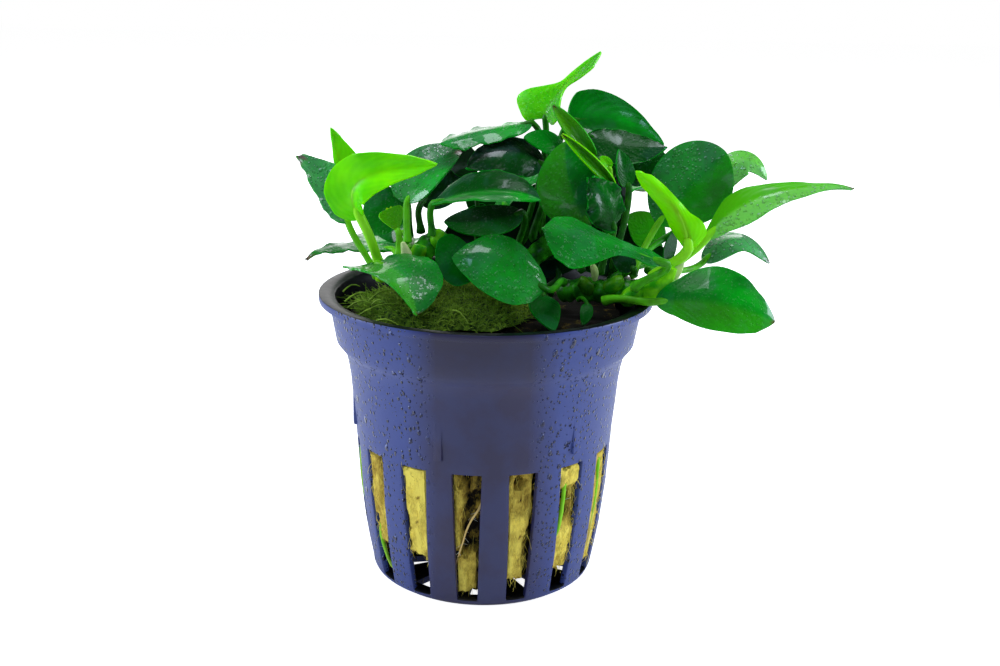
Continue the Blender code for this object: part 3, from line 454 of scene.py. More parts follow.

# Leaves deep inside the clump, which close it against the light, painted nearly black as shade
SHADED_LEAVES = [
    Leaf("shaded_middle", "mature", 12.0, 5, (0.0, -0.95, 0.2),
         (9.5, 9.5, 45.8), (12.5, 11.0, 48.6), (11.1, 11.0, 54.2), (9.7, 10.6, 61.8),
         tone=(-1.0, -0.9), beads=(0.0, 0.0), stalk_tone=-0.8),
    Leaf("shaded_right", "mature", 11.0, 5, (0.1, -0.95, 0.2),
         (17.0, 9.0, 46.0), (21.5, 11.0, 48.6), (20.9, 11.0, 53.6), (19.1, 10.6, 60.0),
         tone=(-0.9, -1.0), beads=(0.0, 0.0), stalk_tone=-0.8),
    Leaf("shaded_right_low", "mature", 5.5, 5, (0.2, -0.95, 0.2),
         (24.0, 4.0, 46.2), (29.6, 5.4, 48.9), (29.6, 5.6, 51.8), (28.4, 5.6, 55.4),
         tone=(-0.9, -0.9), beads=(0.0, 0.0), stalk_tone=-0.8),
    Leaf("shaded_high", "mature", 8.4, 5, (0.0, -0.95, 0.2),
         (15.6, 9.6, 52.0), (20.6, 10.4, 57.5), (19.8, 10.4, 64.2), (18.3, 10.0, 71.5),
         tone=(-0.9, -1.0), beads=(0.0, 0.0), stalk_tone=-0.8),
    Leaf("shaded_blue", "mature", 8.0, 5, (0.3, -0.9, 0.3),
         (19.8, 8.6, 56.0), (21.2, 8.6, 67.2), (25.2, 8.6, 68.9), (30.0, 8.0, 69.2),
         tone=(-0.6, -0.7), beads=(0.2, 0.2), stalk_tone=-0.8),
    Leaf("shaded_centre", "mature", 13.0, 5, (-0.1, -0.95, 0.2),
         (6.4, 6.0, 46.8), (8.2, 7.4, 52.0), (8.4, 7.4, 58.2), (8.6, 7.0, 65.4),
         tone=(-1.0, -0.9), beads=(0.0, 0.0), stalk_tone=-0.8),
    Leaf("shaded_left_low", "mature", 11.5, 5, (-0.1, -0.95, 0.2),
         (-1.0, 7.5, 45.8), (-2.0, 8.4, 48.6), (-2.2, 8.4, 54.6), (-0.8, 8.0, 61.4),
         tone=(-1.0, -0.9), beads=(0.0, 0.0), stalk_tone=-0.8),
    Leaf("shaded_beside_arch", "mature", 5.0, 5, (-0.1, -0.95, 0.2),
         (-2.0, 7.4, 50.0), (-2.6, 5.8, 66.4), (-4.6, 5.4, 69.6), (-6.4, 5.0, 72.0),
         tone=(-0.9, -0.9), beads=(0.0, 0.0), stalk=0.4, stalk_tone=-0.8),
    Leaf("shaded_under_arch", "mature", 5.5, 5, (-0.1, -0.95, 0.2),
         (0.8, 8.6, 49.0), (-0.4, 9.2, 60.4), (-1.6, 9.2, 62.6), (-4.4, 9.0, 64.6),
         tone=(-0.8, -0.8), beads=(0.0, 0.0), stalk=0.45, stalk_tone=-0.6),
    Leaf("shaded_left", "mature", 10.0, 5, (-0.1, -0.95, 0.2),
         (3.4, 9.6, 45.8), (2.3, 10.4, 48.6), (1.8, 10.4, 53.6), (1.2, 10.0, 60.4),
         tone=(-1.0, -0.9), beads=(0.0, 0.0), stalk_tone=-0.8),
]

# Swollen stalk bases and dry sheaths: centre line with the radius there, and how dry they are;
# below 0, how far painted shade darkens them
SHEATHS = [
    ([(23.6, -6.4, 48.8, 0.9), (25.6, -7.4, 49.8, 1.8), (27.4, -8.0, 51.2, 1.9),
      (28.6, -8.4, 53.2, 1.4), (29.2, -8.6, 55.2, 1.0)], 0.0),
    ([(27.0, -7.4, 50.8, 0.8), (28.8, -8.0, 52.6, 1.1), (30.2, -8.2, 54.6, 0.9),
      (31.0, -8.2, 56.2, 0.3)], 0.5),
    ([(21.6, -6.8, 48.6, 0.8), (22.8, -7.4, 49.4, 1.5), (24.0, -7.8, 50.6, 1.4),
      (25.0, -8.0, 52.0, 0.7)], 0.0),
    ([(19.4, -5.4, 50.0, 1.0), (20.2, -6.2, 51.0, 1.3), (21.2, -6.6, 51.8, 1.2),
      (22.0, -6.8, 52.2, 0.8)], -0.5),
    ([(16.4, -5.0, 49.6, 1.0), (16.2, -5.6, 50.6, 1.2), (15.6, -5.8, 51.4, 1.1),
      (14.8, -5.8, 51.8, 0.8)], -0.7),
    ([(17.4, -5.4, 51.6, 0.4), (17.4, -6.0, 52.8, 0.6), (17.2, -6.4, 53.8, 0.6),
      (16.9, -6.4, 54.6, 0.4)], 0.6),
    ([(-11.9, -6.8, 54.0, 0.8), (-12.4, -7.6, 55.4, 1.0), (-12.8, -7.8, 56.8, 0.7),
      (-13.2, -7.8, 58.0, 0.3)], 0.8),
    ([(-8.6, -4.8, 56.6, 0.8), (-8.0, -5.6, 57.6, 1.2), (-7.4, -6.0, 58.6, 1.2),
      (-6.8, -6.0, 59.5, 0.8)], 0.0),
    ([(-11.2, -5.8, 54.6, 0.9), (-11.0, -6.8, 55.6, 1.3), (-10.6, -7.2, 56.6, 1.2),
      (-10.4, -7.2, 57.4, 0.9)], -0.2),
    ([(-13.6, -6.8, 52.0, 0.9), (-14.2, -7.4, 53.2, 1.2), (-15.0, -7.6, 54.4, 0.9),
      (-15.6, -7.6, 55.4, 0.4)], 0.2),
]
SHEATH_SIDES = 16
SHEATH_STEPS = 5

# Camera and light
CAMERA_PLACE = (2.42, -200.6, 98.3)
CAMERA_PITCH = 15.91
CAMERA_ROLL = 1.10
CAMERA_LENS = 45.0
CAMERA_SENSOR = 36.0
CAMERA_NEAR = 5.0
FLOOR_SIZE = 4000.0
FLOOR_GLOW = (0.1, 0.93)        # as a light, and to the camera
LAMP_AIM = (5.0, 0.0, 50.0)
# Name, place, size, power and colour of each soft lamp
LAMPS = [("left_lamp", (-420, 20, 170), 230, 1.5, "#E2ECFF"),
         ("right_lamp", (430, 20, 170), 230, 1.7, "#E2ECFF"),
         ("top_lamp", (0, -60, 500), 240, 1.4, "#EEF4FF"),
         ("back_lamp", (0, 480, 260), 400, 0.9, "#FFFFFF"),
         ("front_lamp", (-50, -390, 260), 120, 0.3, "#B4D4FF")]


def linear(colour):
    """A linear colour with full alpha from an sRGB hex value."""
    shares = [int(colour[start:start + 2], 16) / 255 for start in (1, 3, 5)]
    return (*[share / 12.92 if share <= 0.04045 else ((share + 0.055) / 1.055) ** 2.4
              for share in shares], 1.0)


def swatch(name, description, colour):
    """A colour property that starts at an sRGB hex value."""
    return bpy.props.FloatVectorProperty(name=name, description=description, size=4,
                                         subtype="COLOR", min=0.0, max=1.0,
                                         default=linear(colour))


class PotSettings(bpy.types.PropertyGroup):
    """Sizes and colours of the net pot."""

    wall: bpy.props.FloatProperty(
        name="Wall", description="Thickness of the moulded wall", default=WALL * MM,
        min=0.0005, max=0.002, precision=5, unit="LENGTH")
    edge: bpy.props.FloatProperty(
        name="Edge", description="Rounding of the moulded edges", default=0.16 * MM,
        min=0.00005, max=0.0004, precision=5, unit="LENGTH")
    colour: swatch("Indigo", "Colour of the polypropylene", "#2B2E59")
    shade: swatch("Worn indigo", "Colour of its darker, matt patches", "#2A2548")
    # Lighter than the dry colour: painted side light on the wet sides
    wet: swatch("Wet indigo", "Colour where water stands on it", "#364685")


class WoolSettings(bpy.types.PropertyGroup):
    """Colours of the rock wool and the number of its loose fibres."""

    pale: swatch("Clean wool", "Colour of clean fibres", "#F6E060")
    tan: swatch("Stained wool", "Colour of stained fibres", "#B89A3A")
    # Painted shade: the colour of the wool's hollows and of the plug's top
    dark: swatch("Deep wool", "Colour deep in the plug", "#120B03")
    fibres: bpy.props.IntProperty(
        name="Fibres", description="Loose fibres in each slot", default=80, min=0, max=300)


class MossSettings(bpy.types.PropertyGroup):
    """Colours of the moss and the number of its threads."""

    shade: swatch("Old moss", "Colour of old threads", "#8CB02E")
    olive: swatch("Moss", "Colour of most threads", "#A4EA46")
    bright: swatch("Young moss", "Colour of the young strands", "#E2FF6E")
    threads: bpy.props.IntProperty(
        name="Threads", description="Fine threads on the mound", default=2200, min=0, max=4000)


class PlantSettings(bpy.types.PropertyGroup):
    """Colours of the leaves, stalks, rhizomes and roots, and how wet they are."""

    mature: swatch("Mature leaf", "Colour of a grown blade", "#00A014")
    mature_dark: swatch("Mature leaf, deep", "Colour between its veins", "#006E12")
    old: swatch("Old leaf", "Colour of an old or shaded blade", "#011C06")
    young: swatch("Young leaf", "Colour of a new blade", "#80F000")
    young_deep: swatch("Young leaf, deep", "Colour of its thicker parts", "#4CC800")
    stalk: swatch("Stalk", "Colour of the stalks", "#3FB112")
    brown: swatch("Dry tip", "Colour of a dried tip", "#5A3A12")
    rhizome: swatch("Rhizome", "Colour of the creeping stems", "#2F9412")
    root: swatch("Root", "Colour of a green root", "#7CD01A")
    root_pale: swatch("Pale root", "Colour of an old root", "#ECC878")
    # Wetness also scales the painted sheen and highlights of the beads
    wetness: bpy.props.FloatProperty(
        name="Wetness", description="Height of the water beads on pot and leaves",
        default=1.0, min=0.0, max=2.0)


class StageSettings(bpy.types.PropertyGroup):
    """Light of the plain studio."""

    sky: bpy.props.FloatProperty(
        name="Surround", description="Light that the white surround gives", default=0.07,
        min=0.0, max=5.0)
    lamps: bpy.props.FloatProperty(
        name="Lamps", description="Power of the soft lamps against the plain one", default=1.0,
        min=0.0, max=10.0)


def smooth_step(low, high, value):
    """From 0 at the low value to 1 at the high one, without a corner."""
    share = min(max((value - low) / (high - low), 0.0), 1.0)
    return share * share * (3.0 - 2.0 * share)


def turned(radius, degrees, height):
    """A point at a radius, turned from the front (-Y) towards +X."""
    turn = math.radians(degrees)
    return Vector((radius * math.sin(turn), -radius * math.cos(turn), height))


def wall_radius(height):
    """Radius of the middle of the pot's wall at a height on its side."""
    side = POT_MIDLINE[3:]
    for (r_low, z_low), (r_high, z_high) in zip(side, side[1:]):
        if height <= z_high:
            return r_low + (r_high - r_low) * max((height - z_low) / (z_high - z_low), 0.0)
    return side[-1][0]


def per_metre(size):
    """Scale of a pattern whose features are a size in millimetres, rounded to ten."""
    return round(1.0 / (size * MM), -1)


def set_inputs(tree, node, inputs):
    """Set or link the inputs of a node."""
    for key, value in inputs.items():
        socket = node.inputs[key]
        if isinstance(value, bpy.types.NodeSocket):
            tree.links.new(value, socket)
        else:
            socket.default_value = value


def add_node(tree, kind, inputs=None, **settings):
    """Add a shader node, set its properties, and set or link its inputs."""
    node = tree.nodes.new("ShaderNode" + kind)
    for name, value in settings.items():
        setattr(node, name, value)
    set_inputs(tree, node, inputs or {})
    return node


def new_material(name):
    """A material with nodes, its tree and its Principled shader."""
    made = bpy.data.materials.new(name)
    made.use_nodes = True
    return made, made.node_tree, made.node_tree.nodes["Principled BSDF"]


def shaped_grid(bm, columns, rows, place):
    """Add a grid and carry each vertex to where place says, from its shares across and along."""
    verts = bmesh.ops.create_grid(bm, x_segments=columns, y_segments=rows, size=0.5,
                                  calc_uvs=True)["verts"]
    for vert in verts:
        vert.co = place(vert.co.x + 0.5, vert.co.y + 0.5) * MM
    return verts


def new_sheet():
    """An empty bmesh with a UV layer."""
    bm = bmesh.new()
    bm.loops.layers.uv.new("UVMap")
    return bm


def close_up(bm):
    """Merge seams and poles, and turn the faces outwards."""
    bmesh.ops.remove_doubles(bm, verts=bm.verts, dist=MERGE)
    bmesh.ops.recalc_face_normals(bm, faces=bm.faces)


def side_frames(line):
    """Two directions square to a line at each point, carried along it without twist."""
    frames = []
    side = None
    last = len(line) - 1
    for index in range(len(line)):
        along = (line[min(index + 1, last)] - line[max(index - 1, 0)]).normalized()
        side = along.orthogonal() if side is None else side
        side = (side - along * side.dot(along)).normalized()
        frames.append((side, along.cross(side)))
    return frames


def add_tube(bm, line, radii, sides):
    """A round tube along a line of points, closed where its radius is nought."""
    frames = side_frames(line)
    last = len(line) - 1

    def place(across, along):
        index = round(along * last)
        turn = across * math.tau
        side, up = frames[index]
        return line[index] + (side * math.cos(turn) + up * math.sin(turn)) * radii[index]

    return shaped_grid(bm, sides, last, place)


def add_piece(name, data, materials, nodes=(), corner=40.0):
    """Link a finished mesh or curve, shade it, and tie it to the frame."""
    if isinstance(data, bmesh.types.BMesh):
        mesh = bpy.data.meshes.new(name)
        data.to_mesh(mesh)
        data.free()
        data = mesh
    if isinstance(data, bpy.types.Mesh):
        data.shade_smooth()
        data.set_sharp_from_angle(angle=math.radians(corner))
    for material in materials:
        data.materials.append(material)
    piece = bpy.data.objects.new(name, data)
    home = bpy.data.collections.get(COLLECTION)
    if home is None:
        home = bpy.data.collections.new(COLLECTION)
        bpy.context.scene.collection.children.link(home)
    home.objects.link(piece)
    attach(piece, BODY)
    if nodes:
        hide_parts(*nodes)


def add_strands(name, strands, materials):
    """Fine threads as one curve: each strand is points, a radius and a material's number."""
    curve = bpy.data.curves.new(name, "CURVE")
    curve.dimensions = "3D"
    curve.bevel_depth = MM
    curve.bevel_resolution = 0
    curve.use_fill_caps = True
    for points, radius, material in strands:
        spline = curve.splines.new("POLY")
        spline.points.add(len(points) - 1)
        spline.material_index = material
        last = len(points) - 1
        for index, (knot, point) in enumerate(zip(spline.points, points)):
            knot.co = (*(point * MM), 1.0)
            knot.radius = radius * (1.0 - STRAND_TAPER * index / last)
    add_piece(name, curve, materials)


def baked(thing):
    """The mesh of an object with its modifiers applied; the object is removed."""
    depsgraph = bpy.context.evaluated_depsgraph_get()
    mesh = bpy.data.meshes.new_from_object(thing.evaluated_get(depsgraph))
    bpy.data.objects.remove(thing)
    return mesh


def bead_heights(tree, spacing, stretch=1.0, fullness=0.42, least=0.12):
    """Caps of standing water, at most one in each cell of a spacing in mm.

    Gives their height, and a painted highlight on the side of each drop towards the light, both
    from 0 to 1.
    """
    place = add_node(tree, "TexCoord").outputs["Object"]
    scale = 1.0 / (spacing * MM)
    place = add_node(tree, "Mapping", {"Vector": place, "Scale": (scale, scale, scale / stretch)})
    cells = add_node(tree, "TexVoronoi", {"Vector": place.outputs[0], "Scale": 1.0})
    draw = add_node(tree, "SeparateColor", {"Color": cells.outputs["Color"]}).outputs["Red"]
    radius = add_node(tree, "MapRange", {"Value": draw, "To Min": least, "To Max": fullness})
    radius = add_node(tree, "Math", {0: radius.outputs[0], 1: 0.01}, operation="MAXIMUM")
    ratio = add_node(tree, "Math", {0: cells.outputs["Distance"], 1: radius.outputs[0]},
                     operation="DIVIDE").outputs[0]
    square = add_node(tree, "Math", {0: ratio, 1: ratio}, operation="MULTIPLY").outputs[0]
    rest = add_node(tree, "Math", {0: 1.0, 1: square}, operation="SUBTRACT", use_clamp=True)
    height = add_node(tree, "Math", {0: rest.outputs[0]}, operation="SQRT").outputs[0]
    lean = add_node(tree, "VectorMath", {0: place.outputs[0], 1: cells.outputs["Position"]},
                    operation="SUBTRACT").outputs[0]
    lean = add_node(tree, "VectorMath", {0: lean, 1: BEAD_LIGHT}, operation="DOT_PRODUCT")
    lean = add_node(tree, "Math", {0: lean.outputs["Value"], 1: radius.outputs[0]},
                    operation="DIVIDE")
    # Painted highlight on the side of each drop that faces the light
    spot = add_node(tree, "MapRange", {"Value": lean.outputs[0], "From Min": 0.25, "From Max": 0.6})
    spot = add_node(tree, "Math", {0: spot.outputs[0], 1: height}, operation="MULTIPLY").outputs[0]
    return height, spot


def standing_water(tree, big, small, wet):
    """Heights and painted highlights of two sizes of beads together, where it is wet."""
    most = [add_node(tree, "Math", {0: one, 1: other}, operation="MAXIMUM").outputs[0]
            for one, other in zip(big, small)]
    return [add_node(tree, "Math", {0: value, 1: wet.outputs[0]}, operation="MULTIPLY").outputs[0]
            for value in most]


def pot_material(settings, wetness):
    """Moulded polypropylene: satin indigo with worn patches and standing water on its sides;
    painted shade on the dry front, painted side light on the wet sides, painted highlights on the
    beads.
    """
    made, tree, shader = new_material("indigo_polypropylene")
    place = add_node(tree, "TexCoord").outputs["Object"]
    # Worn patches lie in clouds some 6 mm wide
    cloud = add_node(tree, "TexNoise", {"Vector": place, "Scale": per_metre(6.25),
                                        "Detail": 5.0}).outputs[0]
    cloud = add_node(tree, "MapRange", {"Value": cloud, "From Min": 0.4, "From Max": 0.62})
    body = add_node(tree, "Mix", {0: cloud.outputs[0], 6: settings.shade, 7: settings.colour},
                    data_type="RGBA").outputs[2]
    # The middle of the front is dry and painted darker as shade; water beads both sides and the
    # back, which are painted lighter as side light
    spot = add_node(tree, "SeparateXYZ", {"Vector": place})
    aside = add_node(tree, "Math", {0: spot.outputs["X"]}, operation="ABSOLUTE").outputs[0]
    behind = add_node(tree, "Math", {0: spot.outputs["Y"], 1: 0.0}, operation="MAXIMUM").outputs[0]
    away = add_node(tree, "Math", {0: aside, 1: behind}, operation="ADD").outputs[0]
    wet = add_node(tree, "MapRange", {"Value": away, "From Min": DRY_SHADED_FRONT[0] * MM,
                                      "From Max": DRY_SHADED_FRONT[1] * MM})
    # Painted shade: the dry front turns darker above the shoulder
    collar = add_node(tree, "MapRange", {"Value": spot.outputs["Z"],
                                         "From Min": COLLAR_PAINTED_SHADE[0] * MM,
                                         "From Max": COLLAR_PAINTED_SHADE[1] * MM,
                                         "To Max": 0.55}).outputs[0]
    body = add_node(tree, "Mix", {0: collar, 6: body, 7: linear("#1E1834")}, data_type="RGBA")
    # Painted side light: the wet colour is lighter than the dry one
    body = add_node(tree, "Mix", {0: wet.outputs[0], 6: body.outputs[2], 7: settings.wet},
                    data_type="RGBA")
    big = bead_heights(tree, 1.35, stretch=1.5, fullness=0.38, least=-0.12)
    small = bead_heights(tree, 0.62, stretch=1.25, fullness=0.46, least=0.06)
    wet = add_node(tree, "Math", {0: wet.outputs[0], 1: wetness}, operation="MULTIPLY")
    beads, painted_glints = standing_water(tree, big, small, wet)
    edge = add_node(tree, "MapRange", {"Value": beads, "From Min": 0.05, "From Max": 0.4})
    under = add_node(tree, "Mix", {0: edge.outputs[0], 6: body.outputs[2], 7: linear("#10133A")},
                     data_type="RGBA")
    # Painted highlight on each bead
    under = add_node(tree, "Mix", {0: painted_glints, 6: under.outputs[2], 7: linear("#7F90D2")},
                     data_type="RGBA")
    gloss = add_node(tree, "MapRange", {"Value": edge.outputs[0], "To Min": 0.4, "To Max": 0.04})
    # The mould's fine grain, drawn 0.4 mm wide so that it shows
    grain = add_node(tree, "TexNoise", {"Vector": place, "Scale": per_metre(0.4), "Detail": 2.0})
    fine = add_node(tree, "Bump", {"Height": grain.outputs[0], "Distance": 0.02 * MM,
                                   "Strength": 0.5})
    drops = add_node(tree, "Bump", {"Height": beads, "Distance": 0.5 * MM,
                                    "Normal": fine.outputs[0]})
    set_inputs(tree, shader, {"Base Color": under.outputs[2], "Roughness": gloss.outputs[0],
                              "Normal": drops.outputs[0], "IOR": 1.49,
                              "Specular IOR Level": 0.5})
    return made


def lining_material():
    """The same moulding, painted nearly black as shade inside the pot, on its floor and on its rim.
    """
    made, tree, shader = new_material("shade_painted_polypropylene")
    place = add_node(tree, "TexCoord").outputs["Object"]
    # Flecks some 2 mm wide in the painted shade
    cloud = add_node(tree, "TexNoise", {"Vector": place, "Scale": per_metre(2.0), "Detail": 4.0})
    shade = add_node(tree, "Mix", {0: cloud.outputs[0], 6: linear("#020304"),
                                   7: linear("#090C10")}, data_type="RGBA")
    bump = add_node(tree, "Bump", {"Height": cloud.outputs[0], "Distance": 0.05 * MM})
    set_inputs(tree, shader, {"Base Color": shade.outputs[2], "Normal": bump.outputs[0],
                              "Roughness": 0.35, "Specular IOR Level": 0.15})
    return made


def wool_material(settings):
    """Wet rock wool: matt spun mineral fibre, pale where clean, tan where stained, and dark with
    painted shade in its hollows and on the plug's top.
    """
    made, tree, shader = new_material("rock_wool")
    place = add_node(tree, "TexCoord").outputs["Object"]
    # Fibres run mostly upright. Real ones are under a hundredth of a millimetre thick, so they are
    # drawn as bundles 0.26 mm wide and 0.77 mm long, which show
    lay = add_node(tree, "Mapping", {"Vector": place, "Scale": (per_metre(0.263),
                                                                per_metre(0.263),
                                                                per_metre(0.77))})
    fibre = add_node(tree, "TexNoise", {"Vector": lay.outputs[0], "Scale": 1.0, "Detail": 4.0,
                                        "Distortion": 1.2})
    tone = add_node(tree, "Attribute", attribute_name="tone").outputs["Fac"]
    lift = add_node(tree, "MapRange", {"Value": fibre.outputs[0], "From Min": 0.3,
                                       "From Max": 0.7, "To Min": -0.13, "To Max": 0.15})
    tone = add_node(tree, "Math", {0: tone, 1: lift.outputs[0]}, operation="ADD").outputs[0]
    # Stains lie in clouds some 2 mm wide
    stain = add_node(tree, "TexNoise", {"Vector": place, "Scale": per_metre(2.08),
                                        "Detail": 3.0}).outputs[0]
    stain = add_node(tree, "MapRange", {"Value": stain, "From Min": 0.35, "From Max": 0.65,
                                        "To Min": -0.2, "To Max": 0.14}).outputs[0]
    tone = add_node(tree, "Math", {0: tone, 1: stain}, operation="ADD").outputs[0]
    ramp = add_node(tree, "ValToRGB", {"Fac": tone})
    ramp.color_ramp.elements[0].position = 0.1
    ramp.color_ramp.elements[0].color = settings.dark
    ramp.color_ramp.elements[1].position = 0.95
    ramp.color_ramp.elements[1].color = settings.pale
    ramp.color_ramp.elements.new(0.5).color = settings.tan
    bump = add_node(tree, "Bump", {"Height": fibre.outputs[0], "Distance": 0.12 * MM})
    set_inputs(tree, shader, {"Base Color": ramp.outputs[0], "Normal": bump.outputs[0],
                              "Roughness": 0.9, "Specular IOR Level": 0.2})
    return made


def fibre_material(name, colour, rough):
    """A fine thread of one colour with a little light and dark along it."""
    made, tree, shader = new_material(name)
    place = add_node(tree, "TexCoord").outputs["Object"]
    cloud = add_node(tree, "TexNoise", {"Vector": place, "Scale": per_metre(1.11), "Detail": 2.0})
    dim = add_node(tree, "MapRange", {"Value": cloud.outputs[0], "From Min": 0.35,
                                      "From Max": 0.65, "To Min": 0.55, "To Max": 1.15})
    shade = add_node(tree, "Mix", {0: 1.0, 6: colour, 7: dim.outputs[0]}, data_type="RGBA",
                     blend_type="MULTIPLY")
    set_inputs(tree, shader, {"Base Color": shade.outputs[2], "Roughness": rough,
                              "Specular IOR Level": 0.3})
    return made


def moss_material(settings):
    """The mound under the moss threads: old matted stems, dark and matt."""
    made, tree, shader = new_material("moss_mat")
    place = add_node(tree, "TexCoord").outputs["Object"]
    # Tufts some 0.9 mm wide
    cloud = add_node(tree, "TexNoise", {"Vector": place, "Scale": per_metre(0.91), "Detail": 6.0,
                                        "Roughness": 0.7})
    share = add_node(tree, "MapRange", {"Value": cloud.outputs[0], "From Min": 0.4,
                                        "From Max": 0.65})
    shade = add_node(tree, "Mix", {0: share.outputs[0], 6: linear("#1C3A0A"), 7: settings.shade},
                     data_type="RGBA")
    bump = add_node(tree, "Bump", {"Height": cloud.outputs[0], "Distance": 0.5 * MM})
    set_inputs(tree, shader, {"Base Color": shade.outputs[2], "Normal": bump.outputs[0],
                              "Roughness": 0.9, "Specular IOR Level": 0.2})
    return made


def leaf_material(name, settings, deep, light, gloss, coat, see_through):
    """A waxy leaf cuticle over green tissue: veins, dried tip and beads of standing water, with
    painted shade, painted sheen and highlights on the water, and a painted bright margin.
    """
    made, tree, shader = new_material(name)
    place = add_node(tree, "TexCoord")
    # The green varies in patches some 8 mm wide
    cloud = add_node(tree, "TexNoise", {"Vector": place.outputs["Object"],
                                        "Scale": per_metre(8.3), "Detail": 5.0}).outputs[0]
    spot = add_node(tree, "SeparateXYZ", {"Vector": place.outputs["UV"]})
    across = add_node(tree, "Math", {0: spot.outputs["X"], 1: 0.5}, operation="SUBTRACT")
    across = add_node(tree, "Math", {0: across.outputs[0]}, operation="ABSOLUTE").outputs[0]
    # Side veins leave the midrib at a slant and bend towards the tip
    bend = add_node(tree, "Math", {0: across, 1: 1.4}, operation="POWER").outputs[0]
    slant = add_node(tree, "Math", {0: bend, 1: 0.75}, operation="MULTIPLY").outputs[0]
    phase = add_node(tree, "Math", {0: spot.outputs["Y"], 1: slant}, operation="SUBTRACT")
    phase = add_node(tree, "Math", {0: phase.outputs[0], 1: VEIN_PHASE}, operation="MULTIPLY")
    vein = add_node(tree, "Math", {0: phase.outputs[0]}, operation="SINE").outputs[0]
    midrib = add_node(tree, "MapRange", {"Value": across, "From Max": 0.035}).outputs[0]
    tint = add_node(tree, "MapRange", {"Value": vein, "From Min": -1.0, "To Min": -0.05,
                                       "To Max": 0.05}).outputs[0]
    share = add_node(tree, "MapRange", {"Value": cloud, "From Min": 0.36,
                                        "From Max": 0.64}).outputs[0]
    share = add_node(tree, "Math", {0: share, 1: tint}, operation="ADD").outputs[0]
    tissue = add_node(tree, "Mix", {0: share, 6: deep, 7: light}, data_type="RGBA")
    # Tone above 0 gives a young leaf's colour; below 0 it is painted shade, deepening towards the
    # old colour
    tone = add_node(tree, "Attribute", attribute_name="tone").outputs["Fac"]
    tissue = add_node(tree, "Mix", {0: tone, 6: tissue.outputs[2], 7: settings.young},
                      data_type="RGBA")
    aged_and_shaded = add_node(tree, "Math", {0: tone, 1: -1.0}, operation="MULTIPLY", use_clamp=True)
    tissue = add_node(tree, "Mix", {0: aged_and_shaded.outputs[0], 6: tissue.outputs[2], 7: settings.old},
                      data_type="RGBA")
    dry = add_node(tree, "Attribute", attribute_name="brown").outputs["Fac"]
    tissue = add_node(tree, "Mix", {0: dry, 6: tissue.outputs[2], 7: settings.brown},
                      data_type="RGBA")
    wet = add_node(tree, "Attribute", attribute_name="beads").outputs["Fac"]
    wet = add_node(tree, "Math", {0: wet, 1: settings.wetness}, operation="MULTIPLY")
    beads, painted_glints = standing_water(tree, bead_heights(tree, 0.95),
                                  bead_heights(tree, 0.5, fullness=0.5), wet)
    # A skin of fine droplets greys the green under it: painted sheen, with each drop's painted
    # highlight
    droplet_sheen = add_node(tree, "Math", {0: wet.outputs[0], 1: 2.0}, operation="POWER").outputs[0]
    droplet_sheen = add_node(tree, "Math", {0: droplet_sheen, 1: 0.13}, operation="MULTIPLY").outputs[0]
    droplet_sheen = add_node(tree, "Math", {0: painted_glints, 1: 0.5, 2: droplet_sheen}, operation="MULTIPLY_ADD").outputs[0]
    tissue = add_node(tree, "Mix", {0: droplet_sheen, 6: tissue.outputs[2], 7: linear("#BCD8D0")},
                      data_type="RGBA")
    # Films of water lie in patches some 5 mm wide and mirror the pale surround in the coat; a
    # blue-grey tint in the colour is a painted reflection
    film = add_node(tree, "TexNoise", {"Vector": place.outputs["Object"],
                                       "Scale": per_metre(4.76), "Detail": 3.0,
                                       "Distortion": 0.6}).outputs[0]
    film = add_node(tree, "MapRange", {"Value": film, "From Min": 0.52, "From Max": 0.6,
                                       "To Max": coat}).outputs[0]
    sheen = add_node(tree, "Math", {0: film, 1: 0.05}, operation="MULTIPLY").outputs[0]
    tissue = add_node(tree, "Mix", {0: sheen, 6: tissue.outputs[2], 7: linear("#5E98A0")},
                      data_type="RGBA")
    # The margin is thin: painted light makes it a bright line, where light would come through it
    margin = add_node(tree, "MapRange", {"Value": across, "From Min": 0.475, "From Max": 0.495,
                                         "To Max": 0.6}).outputs[0]
    tissue = add_node(tree, "Mix", {0: margin, 6: tissue.outputs[2], 7: light},
                      data_type="RGBA")
    edge = add_node(tree, "MapRange", {"Value": beads, "From Min": 0.05, "From Max": 0.3})
    film = add_node(tree, "Math", {0: film, 1: edge.outputs[0]}, operation="MAXIMUM").outputs[0]
    groove = add_node(tree, "Math", {0: vein, 1: midrib}, operation="ADD").outputs[0]
    ribs = add_node(tree, "Bump", {"Height": groove, "Distance": 0.008 * MM})
    drops = add_node(tree, "Bump", {"Height": beads, "Distance": 0.3 * MM,
                                    "Normal": ribs.outputs[0]})
    set_inputs(tree, shader, {"Base Color": tissue.outputs[2], "Normal": drops.outputs[0],
                              "Roughness": gloss, "IOR": 1.45, "Specular IOR Level": 0.12,
                              "Coat Weight": film, "Coat Roughness": 0.06, "Coat IOR": 1.4,
                              "Subsurface Weight": see_through,
                              "Subsurface Radius": (0.3, 1.0, 0.1),
                              "Subsurface Scale": 0.6 * MM})
    return made


